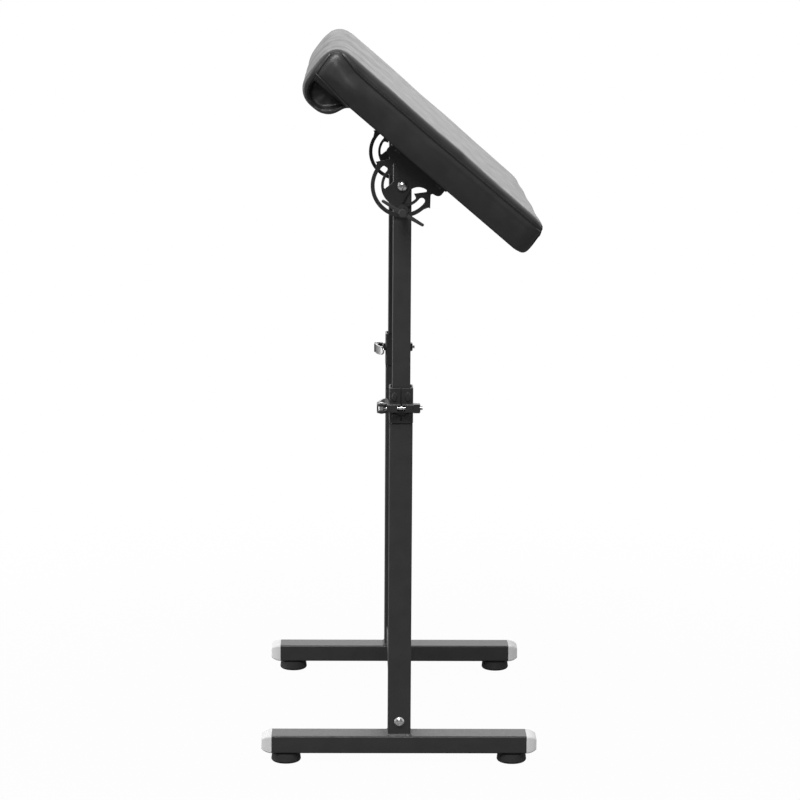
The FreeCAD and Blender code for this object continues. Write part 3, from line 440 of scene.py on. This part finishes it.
# %% [markdown]
# ## The foam under the vinyl
# The pad's end shows its whole shape: a flat slab with a soft front edge, and under that
# edge a half round roll. Each is drawn here as a few corners with a rounding each, and
# pulled out to the pad's length. The lists run two millimetres outside the skin, so each
# corner is first moved in by that much.

# %% Profiles of slab and roll
SHRINK = 0.0022
ROLL_INSET = 0.0045
slab_corners = [(0.1852, 0.0358, 0.008), (0.1832, 0.0884, 0.013),
                (-0.1995, 0.0940, 0.031), (-0.1985, 0.0362, 0.0)]
roll_corners = [(-0.1985, 0.060, 0.0), (-0.1962, 0.0014, 0.026),
                (-0.1325, 0.0014, 0.021), (-0.1240, 0.0480, 0.0)]


def drawn_in(corners, outward):
    """Corners moved in by SHRINK across the pad, and on the side where outward points."""
    middle_b = sum(b for b, n, rounding in corners) / len(corners)
    middle_n = sum(n for b, n, rounding in corners) / len(corners)
    result = []
    for b, n, rounding in corners:
        b += SHRINK if b < middle_b else -SHRINK
        if (n - middle_n) * outward > 0:
            n -= SHRINK * outward
        result.append((b, n, rounding))
    return result


def extruded_profile(bm, corners, half):
    """A rounded polygon pulled out along the pad, closed at both ends."""
    verts = [bm.verts.new((b, -half, n)) for b, n, rounding in corners]
    bm.faces.new(verts)
    for vert, (b, n, rounding) in zip(verts, corners):
        if rounding:
            bmesh.ops.bevel(bm, geom=[vert], offset=rounding, offset_type="OFFSET",
                            affect="VERTICES", segments=7, profile=0.5, material=-1)
    face = [f for f in bm.faces if all(abs(v.co.y + half) < 1e-6 for v in f.verts)][-1]
    pulled = bmesh.ops.extrude_face_region(bm, geom=[face], use_keep_orig=True)
    moved = [g for g in pulled["geom"] if isinstance(g, bmesh.types.BMVert)]
    bmesh.ops.translate(bm, verts=moved, vec=(0, 2 * half, 0))
    bmesh.ops.recalc_face_normals(bm, faces=bm.faces)


bm = bmesh.new()
extruded_profile(bm, drawn_in(slab_corners, 1), HALF_LENGTH - SHRINK)
roll_bm = bmesh.new()
extruded_profile(roll_bm, drawn_in(roll_corners, -1), HALF_LENGTH - ROLL_INSET)
roll_mesh = bpy.data.meshes.new("roll_start")
roll_bm.to_mesh(roll_mesh)
roll_bm.free()
bm.from_mesh(roll_mesh)
print("corners: slab", len(slab_corners), "roll", len(roll_corners))

# %% [markdown]
# ## One skin over both
# A voxel remesh melts the two overlapping blocks into one skin of even small squares,
# which is easy to shape point by point. It also gives the smooth front where slab and roll
# share one sheet of vinyl. A few rounds of smoothing soften the rims, except round the
# underside, where the vinyl is pulled sharply over the board's edge and stapled.

# %% Remesh the skin
VOXEL = 0.0052
RIM_TOP, RIM_HIGH_SIDE, RIM_LOW_SIDE = 0.0445, -0.1235, 0.1690
FLAT_BELOW, BOARD_FACE = 0.0400, 0.0362
RIM_REACH, RIM_INSET, SOFT_REACH = 0.0065, 0.0014, 0.016


def points_of(mesh):
    """The mesh's points as rows of b, y and n."""
    flat = np.empty(len(mesh.vertices) * 3)
    mesh.vertices.foreach_get("co", flat)
    return flat.reshape(-1, 3)


def smoothed(mesh, chosen, rounds):
    """Averages the chosen points with their neighbours a few times."""
    bm = bmesh.new()
    bm.from_mesh(mesh)
    verts = [v for v, wanted in zip(bm.verts, chosen) if wanted]
    for _ in range(rounds):
        bmesh.ops.smooth_vert(bm, verts=verts, factor=0.5, use_axis_x=True, use_axis_y=True,
                              use_axis_z=True)
    bm.to_mesh(mesh)
    bm.free()


foam_mesh = bpy.data.meshes.new("pad_start")
bm.to_mesh(foam_mesh)
bm.free()
foam = bpy.data.objects.new("pad_start", foam_mesh)
bpy.context.scene.collection.objects.link(foam)
remesh = foam.modifiers.new("skin", "REMESH")
remesh.mode = "VOXEL"
remesh.voxel_size = VOXEL
evaluated = foam.evaluated_get(bpy.context.evaluated_depsgraph_get())
skin_mesh = bpy.data.meshes.new_from_object(evaluated)
bpy.data.objects.remove(foam)
place_of = points_of(skin_mesh)
b, y, n = place_of.T
low_rim = (n < RIM_TOP) & (b > RIM_HIGH_SIDE) & (b < RIM_LOW_SIDE)
place_of[low_rim & (n < FLAT_BELOW), 2] = BOARD_FACE
at_end = low_rim & (np.abs(y) > HALF_LENGTH - RIM_REACH)
place_of[at_end, 1] = np.sign(y[at_end]) * (HALF_LENGTH - RIM_INSET)
skin_mesh.vertices.foreach_set("co", place_of.ravel())
smoothed(skin_mesh, (np.abs(y) > HALF_LENGTH - SOFT_REACH) & ~low_rim, 4)
smoothed(skin_mesh, ~low_rim, 2)
print("skin", len(skin_mesh.vertices), "points")

# %% [markdown]
# ## Where the seams run
# The end panel is sewn to the top sheet along a line about a centimetre inside the end's
# outline. It starts low on the front edge, turns over the corner, follows the top and goes
# on round the low side. The roll's end has a small panel of its own under it. Knowing how
# far each point is from those lines serves three times: the skin is held there while the
# rest is softened, then it gets a groove there, and the groove's shade is painted dark into
# the vinyl's colour there.

# %% Seam lines
top_seam = [(-0.1852, 0.0390), (-0.1866, 0.0480), (-0.1882, 0.0580), (-0.1887, 0.0745),
            (-0.1872, 0.0808), (-0.1832, 0.0838), (-0.1760, 0.0826), (-0.1505, 0.0770),
            (-0.1280, 0.0758), (0.0, 0.0755), (0.1742, 0.0770), (0.1850, 0.0771)]
roll_seam = [(-0.1862, 0.0420), (-0.1850, 0.0320), (-0.1836, 0.0235), (-0.1790, 0.0135),
             (-0.1715, 0.0076), (-0.1613, 0.0058), (-0.1505, 0.0082), (-0.1372, 0.0200),
             (-0.1270, 0.0351)]
FOLD_LEFT, FOLD_RIGHT = (-0.1873, 0.0409), (-0.1265, 0.0352)
END_ZONE = HALF_LENGTH - 0.014
HEEL_FROM, HEEL_SEAM = 0.1755, 0.0770
ROLL_TO, FOLD_GAP = -0.120, 0.001
NO_SEAM = 1.0


def side_of(points, path):
    """Distance of each (b, n) point from a path, positive on the path's left side."""
    best = np.full(len(points), 1e9)
    for first, second in zip(path, path[1:]):
        start, along = np.array(first), np.array(second) - np.array(first)
        share = np.clip(((points - start) @ along) / float(along @ along), 0, 1)
        gap = points - (start + share[:, None] * along)
        size = np.linalg.norm(gap, axis=1)
        signed = np.where(along[0] * gap[:, 1] - along[1] * gap[:, 0] > 0, size, -size)
        best = np.where(size < np.abs(best), signed, best)
    return best


def seam_distances(points):
    """Signed distances from the top seam and the roll's seam, and height over the fold."""
    flat = points[:, [0, 2]]
    share = (flat[:, 0] - FOLD_LEFT[0]) / (FOLD_RIGHT[0] - FOLD_LEFT[0])
    over_fold = flat[:, 1] - (FOLD_LEFT[1] + share * (FOLD_RIGHT[1] - FOLD_LEFT[1]))
    inward = np.maximum(0, END_ZONE - np.abs(points[:, 1]))
    top = side_of(flat, top_seam) + inward
    low_side = flat[:, 0] > HEEL_FROM
    top = np.where(low_side, flat[:, 1] - HEEL_SEAM, top)
    top = np.where((over_fold < -FOLD_GAP) & ~low_side, NO_SEAM, top)
    roll = side_of(flat, roll_seam[::-1]) + inward
    roll = np.where((over_fold > FOLD_GAP) | (flat[:, 0] > ROLL_TO), NO_SEAM, roll)
    return top, roll, over_fold


HOLD = 0.0030
top, roll, over_fold = seam_distances(points_of(skin_mesh))
near_seams = (np.abs(top) < HOLD) | (np.abs(roll) < HOLD)
print("points near the seams:", int(near_seams.sum()))

# %% [markdown]
# ## Softer between the seams
# Board, fold and seams hold the cover where it is, and the foam rounds it off everywhere
# else. So the points near them keep their places, and all others are smoothed twice more.

# %% Soften the skin
ROLL_BACK = -0.124
place_of = points_of(skin_mesh)
b, y, n = place_of.T
on_fold = (np.abs(y) > END_ZONE) & (np.abs(over_fold) < HOLD) & (b < ROLL_BACK)
held = low_rim | near_seams | on_fold
smoothed(skin_mesh, ~held, 2)
print("held points:", int(held.sum()), "of", len(held))

# %% [markdown]
# ## A finer skin
# One subdivision makes the surface fine enough for close views. The next steps move single
# points of this skin, so here come two helpers as well: the direction in which each point
# looks, and a smooth step from nothing to one.

# %% Make the skin finer
start = bpy.data.objects.new("skin", skin_mesh)
bpy.context.scene.collection.objects.link(start)
finer = start.modifiers.new("finer", "SUBSURF")
finer.levels = finer.render_levels = 1
evaluated = start.evaluated_get(bpy.context.evaluated_depsgraph_get())
pad_mesh = bpy.data.meshes.new_from_object(evaluated)
bpy.data.objects.remove(start)


def normals_of(mesh):
    """The direction in which each of the mesh's points looks."""
    flat = np.empty(len(mesh.vertices) * 3)
    mesh.vertex_normals.foreach_get("vector", flat)
    return flat.reshape(-1, 3)


def ramp(value, start, end):
    """Smoothly from nothing at start to one at end."""
    share = np.clip((value - start) / (end - start), 0, 1)
    return share * share * (3 - 2 * share)


place_of = points_of(pad_mesh)
b, y, n = place_of.T
print("pad skin", len(pad_mesh.polygons), "faces")

# %% [markdown]
# ## Grooves along the seams
# The thread pulls the cover in by about a millimetre along each sewn line, and the foam
# rises in a faint ridge on either side. Near the low side the pull is weaker.

# %% Grooves
GROOVE_DEPTH, GROOVE_FLOOR, GROOVE_EDGE = 0.0011, 0.0004, 0.0030
RIDGE_HEIGHT, RIDGE_PLACE, RIDGE_WIDTH = 0.0004, 0.006, 0.0025
FAINT_FROM, FAINT_SHARE = 0.1700, 0.35
top, roll, over_fold = seam_distances(place_of)
nearest = np.minimum(np.abs(top), np.abs(roll))
groove = 1 - ramp(nearest, GROOVE_FLOOR, GROOVE_EDGE)
groove *= np.where(b > FAINT_FROM, FAINT_SHARE, 1.0)
ridge = np.exp(-((nearest - RIDGE_PLACE) / RIDGE_WIDTH) ** 2)
place_of += normals_of(pad_mesh) * (RIDGE_HEIGHT * ridge - GROOVE_DEPTH * groove)[:, None]
print("points in the grooves:", int((groove > 0).sum()))

# %% [markdown]
# ## The roll's sunken end
# Under the fold the roll's end panel lies well behind the end of the pad, so the fold
# throws a dark shadow on it. A lip just under the fold stays further out, and the sunken
# panel is gathered a little all round.

# %% Sink the roll's end
RECESS_EDGE, FOLD_EDGE, EDGE_ZONE = 0.0045, 0.0022, 0.004
LIP_FROM, LIP_END, RECESS_END = 0.0335, 0.3067, 0.2880
GATHER_BELOW, GATHER_DEPTH, GATHER_RATE = 0.0320, 0.0004, 10.4
ROLL_MIDDLE = (-0.157, 0.040)
set_back = ramp(-roll, 0.0, RECESS_EDGE) * ramp(-over_fold, 0.0, FOLD_EDGE)
set_back *= np.abs(y) > END_ZONE - EDGE_ZONE
turn = np.arctan2(n - ROLL_MIDDLE[1], b - ROLL_MIDDLE[0])
gathers = GATHER_DEPTH * np.sin(GATHER_RATE * turn) * (n < GATHER_BELOW)
kept = np.where(n > LIP_FROM, LIP_END, RECESS_END) + gathers
away = np.abs(y) * (1 - set_back) + np.minimum(kept, np.abs(y)) * set_back
print("sunken by %.1f mm" % ((np.abs(y) - away).max() * 1000))

# %% [markdown]
# ## Bulging end panels
# Over the fold the foam pushes each end panel out, by a millimetre on most of it and by
# several at the thick nose. Towards the low side the end is rounded off instead.

# %% Bulge the end panels
BULGE, NOSE_BULGE = 0.0014, 0.0042
NOSE_B, NOSE_N, NOSE_SIZE = -0.138, 0.056, 0.028
PANEL_EDGE, PANEL_LOW, PANEL_RISE = 0.018, 0.0365, 0.016
PANEL_STOP, PANEL_FADE = 0.1740, 0.014
HEEL_ROUND, HEEL_START, HEEL_FULL = 0.0060, 0.1560, 0.1860
on_end_panel = np.abs(y) > END_ZONE
panel = ramp(-top, 0.0, PANEL_EDGE) * ramp(n - PANEL_LOW, 0.0, PANEL_RISE) * (over_fold > 0)
panel *= on_end_panel * ramp(PANEL_STOP - b, 0.0, PANEL_FADE)
nose = np.exp(-((b - NOSE_B) ** 2 + (n - NOSE_N) ** 2) / NOSE_SIZE ** 2)
heel = HEEL_ROUND * ramp(b, HEEL_START, HEEL_FULL) ** 2 * on_end_panel
bulge = panel * (BULGE + NOSE_BULGE * nose) - heel
place_of[:, 1] = np.sign(y) * (away + bulge)
print("bulge up to %.1f mm" % (bulge.max() * 1000))

# %% [markdown]
# ## A flat underside
# The board keeps the underside flat. Where the lining goes, the skin is set a millimetre
# deeper, so that the cloth lies in a shallow recess.

# %% Level the underside
LEVEL_BELOW, LEVEL_TO = 0.0385, 0.1650
LINING_REACH, LINING_EDGE, LINING_DEPTH = 0.3030, 0.1620, 0.0010
under = (n < LEVEL_BELOW) & (b > ROLL_BACK) & (b < LEVEL_TO)
lining_zone = under & (np.abs(y) < LINING_REACH) & (b < LINING_EDGE)
place_of[under, 2] = UNDERSIDE
place_of[lining_zone, 2] = UNDERSIDE + LINING_DEPTH
pad_mesh.vertices.foreach_set("co", place_of.ravel())
print("points on the underside:", int(under.sum()))

# %% [markdown]
# ## Soft folds in the cover
# Vinyl that is stretched round a thick front edge is never quite even. Three shallow
# hollows cross the front, and long faint waves run over the top. They are a millimetre or
# two deep at most, so moving the points along their normals is enough.

# %% Soft folds
HOLLOWS = ((-0.215, 0.022, 0.0018), (-0.055, 0.030, 0.0022), (0.120, 0.050, 0.0012))
WAVE_HEIGHT, WAVES_ABOVE = 0.0005, 0.07
WAVES_ALONG, WAVES_ACROSS, SWAY = 31, 17, 3
FRONT_FROM, FRONT_WIDTH = -0.09, 0.07
front = np.clip((FRONT_FROM - b) / FRONT_WIDTH, 0, 1)
fold = np.zeros(len(place_of))
for middle, width, depth in HOLLOWS:
    fold += np.exp(-((y - middle) / width) ** 2) * front * depth
waves = WAVE_HEIGHT * np.sin(y * WAVES_ALONG + SWAY * np.sin(b * WAVES_ACROSS))
waves *= n > WAVES_ABOVE
place_of -= normals_of(pad_mesh) * (fold + waves)[:, None]
pad_mesh.vertices.foreach_set("co", place_of.ravel())
print("deepest fold %.1f mm" % (fold.max() * 1000))

# %% [markdown]
# ## Black vinyl
# Upholstery vinyl is a soft plastic skin with a pressed leather grain: small rounded
# cells, about a millimetre and a half across, with fine creases between. It is black, but
# its sheen is broad, so the top, which the camera sees at a low angle, mirrors the white
# paper and turns grey. The sewn line is a narrow groove with its shade painted dark into
# the colour, found by the seam distances that the mesh carries.

# %% Vinyl finish
GRAIN_MM, CREASE, GRAIN_DEPTH_MM = 1.5, 0.28, 0.02
CLOUD_MM, SHEEN_MM, DENT_MM, DENT_DEPTH_MM = 40.0, 18.0, 14.0, 0.05
# Widths of the painted seam shade and of the seam's bump, and the bump's depth.
TOP_LINE, ROLL_LINE, LINE_DEPTH_MM = 0.0013, 0.0012, 0.8


def vinyl_finish(name, with_seams):
    """Grained black vinyl, with a groove's shade painted dark along the seams if it has any."""
    material, tree, shader = start_finish(name, (0.014, 0.014, 0.015), 0.42)
    where = place(tree, (1, 1, 1), (0, PAD_TILT, 0), (0, 0, PIVOT_HEIGHT))
    cells = tree.nodes.new("ShaderNodeTexVoronoi")
    cells.feature = "DISTANCE_TO_EDGE"
    cells.inputs["Scale"].default_value = 1000 / GRAIN_MM
    tree.links.new(where, cells.inputs["Vector"])
    grain = between(tree, cells.outputs["Distance"], 0.0, 1.0, 0.0, CREASE)
    tint = colours(tree, noise(tree, where, CLOUD_MM, 3.0), (0.012, 0.012, 0.013),
                   (0.018, 0.018, 0.0192))
    gloss = between(tree, noise(tree, where, SHEEN_MM, 3.0), 0.37, 0.47)
    tree.links.new(gloss, shader.inputs["Roughness"])
    soft = relief(tree, shader, noise(tree, where, DENT_MM, 1.0), DENT_DEPTH_MM)
    fine = relief(tree, shader, grain, GRAIN_DEPTH_MM, soft)
    if not with_seams:
        tree.links.new(tint, shader.inputs["Base Color"])
        return material
    seam = seam_strength(tree)
    # Painted shade: along each seam the colour is mixed to near black, standing in for the shade
    # inside the groove. The groove's real dent is the bump below.
    dark = tree.nodes.new("ShaderNodeMix")
    dark.data_type = "RGBA"
    dark.inputs["B"].default_value = (0.006, 0.006, 0.006, 1)
    tree.links.new(seam, dark.inputs["Factor"])
    tree.links.new(tint, dark.inputs["A"])
    tree.links.new(dark.outputs["Result"], shader.inputs["Base Color"])
    depth = between(tree, seam, 1.0, 0.0, 0.0, 1.0)
    relief(tree, shader, depth, LINE_DEPTH_MM, fine)
    return material


def seam_strength(tree):
    """One on a sewn line, nothing away from it, from the mesh's own seam distances."""
    def near_zero(value, width):
        size = tree.nodes.new("ShaderNodeMath")
        size.operation = "ABSOLUTE"
        tree.links.new(value, size.inputs[0])
        return between(tree, size.outputs[0], 1.0, 0.0, 0.0, width)

    top = tree.nodes.new("ShaderNodeAttribute")
    top.attribute_name = "top_seam"
    roll = tree.nodes.new("ShaderNodeAttribute")
    roll.attribute_name = "roll_seam"
    both = tree.nodes.new("ShaderNodeMath")
    both.operation = "MAXIMUM"
    tree.links.new(near_zero(top.outputs["Fac"], TOP_LINE), both.inputs[0])
    tree.links.new(near_zero(roll.outputs["Fac"], ROLL_LINE), both.inputs[1])
    return both.outputs[0]


pad_vinyl = vinyl_finish("black_vinyl", True)
print("vinyl ready")

# %% [markdown]
# ## The pad becomes a piece
# The distances that made the grooves go on the mesh as attributes for the vinyl finish.
# Then the pad tips up on to its brackets, and takes the place of the two soft CAD solids.

# %% Pad piece
for label, values in (("top_seam", top), ("roll_seam", roll)):
    attribute = pad_mesh.attributes.new(label, "FLOAT", "POINT")
    attribute.data.foreach_set("value", values.astype(np.float32))
bm = bmesh.new()
bm.from_mesh(pad_mesh)
for face in bm.faces:
    face.smooth = True
surface = BVHTree.FromBMesh(bm)
pad = add_piece(bm, "pad_cover", "pad", pad_vinyl)
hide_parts("pad_cushion", "pad_roll")

# %% [markdown]
# ## Stitches and piping
# A row of top stitching holds the top sheet's edge down beside the seam. Each stitch is a
# short arch of thread between two needle holes. Along the fold over the roll's end runs a
# thin piping, which catches the light. Both follow the skin: a ray finds it at each point.

# %% Stitches
STITCH, BESIDE, DIAGONAL = 0.0036, 0.0024, 0.7
THREAD_RADIUS, NEEDLE_HOLE, ARCH, HOLE_SHARE = 0.0003, -0.0003, 0.0006, 0.1


def along_path(path, spacing):
    """Points at even distances along a (b, n) path."""
    points = np.array(path)
    lengths = np.linalg.norm(np.diff(points, axis=0), axis=1)
    total = np.concatenate([[0], np.cumsum(lengths)])
    wanted = np.arange(spacing / 2, total[-1], spacing)
    return np.stack([np.interp(wanted, total, points[:, k]) for k in (0, 1)], axis=1)


def on_end(b, n, side, lift):
    """The skin's point at (b, n) on one end, lifted a little off it."""
    hit, normal, _, _ = surface.ray_cast(Vector((b, side * 0.5, n)), Vector((0, -side, 0)))
    return hit + normal * lift if hit else None


def on_heel(y, n, lift):
    """The skin's point at (y, n) on the low side."""
    hit, normal, _, _ = surface.ray_cast(Vector((0.5, y, n)), Vector((-1, 0, 0)))
    return hit + normal * lift if hit else None


def thread(lines, radius, sides, name):
    """Mesh of round threads through lists of points."""
    curve = bpy.data.curves.new(name, "CURVE")
    curve.dimensions = "3D"
    curve.bevel_depth = radius
    curve.bevel_resolution = sides
    curve.resolution_u = 2
    curve.use_fill_caps = True
    for points in lines:
        spline = curve.splines.new("NURBS")
        spline.points.add(len(points) - 1)
        for slot, point in zip(spline.points, points):
            slot.co = (*point, 1)
        spline.order_u = 3
        spline.use_endpoint_u = True
    holder = bpy.data.objects.new(name, curve)
    mesh = bpy.data.meshes.new_from_object(holder)
    bpy.data.objects.remove(holder)
    bm = bmesh.new()
    bm.from_mesh(mesh)
    for face in bm.faces:
        face.smooth = True
    return bm


stitch_path = [(b - BESIDE, n) for b, n in top_seam[1:4]]
stitch_path += [(b - DIAGONAL * BESIDE, n + DIAGONAL * BESIDE) for b, n in top_seam[4:6]]
stitch_path += [(b, n + BESIDE) for b, n in top_seam[6:11]]
stitches = []
for side in (-1, 1):
    holes = along_path(stitch_path, STITCH)
    for first, last in zip(holes, holes[1:]):
        inset = HOLE_SHARE * (last - first)
        first, last = first + inset, last - inset
        middle = (first + last) / 2
        line = [on_end(*first, side, NEEDLE_HOLE), on_end(*middle, side, ARCH),
                on_end(*last, side, NEEDLE_HOLE)]
        if None not in line:
            stitches.append(line)
arch = ((HOLE_SHARE, NEEDLE_HOLE), (0.5, ARCH), (1 - HOLE_SHARE, NEEDLE_HOLE))
for y in np.arange(-END_ZONE, END_ZONE, STITCH):
    line = [on_heel(y + share * STITCH, HEEL_SEAM + BESIDE, lift) for share, lift in arch]
    if None not in line:
        stitches.append(line)
bm = thread(stitches, THREAD_RADIUS, 1, "stitches")
thread_finish, tree, shader = start_finish("black_thread", (0.03, 0.03, 0.031), 0.6)
twist = noise(tree, place(tree, (1, 1, 1), (0.7, 0.4, 0.2)), 0.35, 1.0)
tree.links.new(colours(tree, twist, (0.02, 0.02, 0.021), (0.06, 0.06, 0.062)),
               shader.inputs["Base Color"])
relief(tree, shader, twist, 0.05)
add_piece(bm, "seam_stitches", "pad", thread_finish)
print("stitches:", len(stitches))

# %% Piping along the fold
PIPING_RADIUS, PIPING_LIFT, PIPING_POINTS = 0.0012, 0.0004, 14
ABOVE_FOLD = 0.0022
lines = []
for side in (-1, 1):
    line = []
    for share in np.linspace(0.0, 1.0, PIPING_POINTS):
        b = FOLD_LEFT[0] + share * (FOLD_RIGHT[0] - FOLD_LEFT[0])
        n = FOLD_LEFT[1] + share * (FOLD_RIGHT[1] - FOLD_LEFT[1])
        hit = on_end(b, n + ABOVE_FOLD, side, 0.0)
        if hit:
            line.append((b, hit.y + side * PIPING_LIFT, n + PIPING_LIFT))
    lines.append(line)
bm = thread(lines, PIPING_RADIUS, 3, "piping")
plain_vinyl = vinyl_finish("black_vinyl_piping", False)
add_piece(bm, "roll_end_piping", "pad", plain_vinyl)

# %% [markdown]
# ## The lining
# Under the pad a thin black cloth hides the board and the vinyl's stapled edge. It is cut
# about thirty centimetres wide and stapled flat, so it is a tight sheet with slight
# waves between the staples. A grid with a small ripple along its edges is all it needs.

# %% Lining cloth
LINING_LOW, LINING_HIGH, LINING_HALF = -0.1262, 0.1640, 0.3055
LINING_GAP, LINING_THICKNESS = 0.0002, 0.0005
RIPPLE_HEIGHT, RIPPLE_REACH, RIPPLE_RATE = 0.0003, 0.012, 140
bm = bmesh.new()
bmesh.ops.create_grid(bm, x_segments=60, y_segments=120, size=0.5)
width = LINING_HIGH - LINING_LOW
bmesh.ops.scale(bm, vec=(width, 2 * LINING_HALF, 1), verts=bm.verts)
middle = Vector(((LINING_LOW + LINING_HIGH) / 2, 0, UNDERSIDE + LINING_GAP))
bmesh.ops.translate(bm, vec=middle, verts=bm.verts)
bmesh.ops.reverse_faces(bm, faces=bm.faces)
for vert in bm.verts:
    edge = min(vert.co.x - LINING_LOW, LINING_HIGH - vert.co.x, LINING_HALF - abs(vert.co.y))
    ripple = math.exp(-edge / RIPPLE_REACH) * RIPPLE_HEIGHT
    vert.co.z += ripple * math.sin(vert.co.x * RIPPLE_RATE + vert.co.y * RIPPLE_RATE)
for face in bm.faces:
    face.smooth = True
lining_cloth, tree, shader = start_finish("black_lining", (0.02, 0.02, 0.02), 0.85)
fibres = noise(tree, place(tree), 0.8, 5.0)
tree.links.new(colours(tree, fibres, (0.014, 0.014, 0.014), (0.03, 0.03, 0.03)),
               shader.inputs["Base Color"])
shader.inputs["Sheen Weight"].default_value = 0.15
relief(tree, shader, fibres, 0.12)
lining = add_piece(bm, "underside_lining", "pad", lining_cloth)
thickness = lining.modifiers.new("thickness", "SOLIDIFY")
thickness.thickness = LINING_THICKNESS
thickness.offset = -1
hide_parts("pad_lining")

# %% [markdown]
# ## Staples
# The lining and the vinyl under it are shot to the board with wire staples about four
# centimetres apart. Only the flat crown of each shows, pressed into the cloth, and no two
# lie at quite the same angle.

# %% Staples round the lining
STAPLE_SPACING, STAPLE_INSET = 0.042, 0.0065
STAPLE_SIZE, STAPLE_BEVEL = (0.0105, 0.0012, 0.0006), 0.00022
FLANGE_B, FLANGE_Y = 0.06, 0.24
WOBBLE = 0.16


def edge_places(spacing, inset):
    """Places and directions round the lining's edge."""
    low, high, half = LINING_LOW + inset, LINING_HIGH - inset, LINING_HALF - inset
    for y in np.arange(-half + 0.01, half, spacing):
        yield (low + 0.004, y, math.pi / 2)
        yield (high, y, math.pi / 2)
    for b in np.arange(low + 0.03, high - 0.01, spacing):
        yield (b, -half, 0.0)
        yield (b, half, 0.0)


bm = bmesh.new()
count = 0
for b, y, angle in edge_places(STAPLE_SPACING, STAPLE_INSET):
    if abs(b) < FLANGE_B and abs(y) > FLANGE_Y:
        continue
    count += 1
    turned = Matrix.Rotation(angle + WOBBLE * math.sin(count * 2.7), 4, "Z")
    made = bmesh.ops.create_cube(bm, size=1.0)
    shape = (Matrix.Translation((b, y, UNDERSIDE - 0.0001)) @ turned
             @ Matrix.Diagonal((*STAPLE_SIZE, 1)))
    bmesh.ops.transform(bm, matrix=shape, verts=made["verts"])
bmesh.ops.bevel(bm, geom=bm.edges[:], offset=STAPLE_BEVEL, affect="EDGES", segments=2,
                profile=0.5, material=-1)
add_piece(bm, "lining_staples", "pad", zinc)
print("staples:", count)
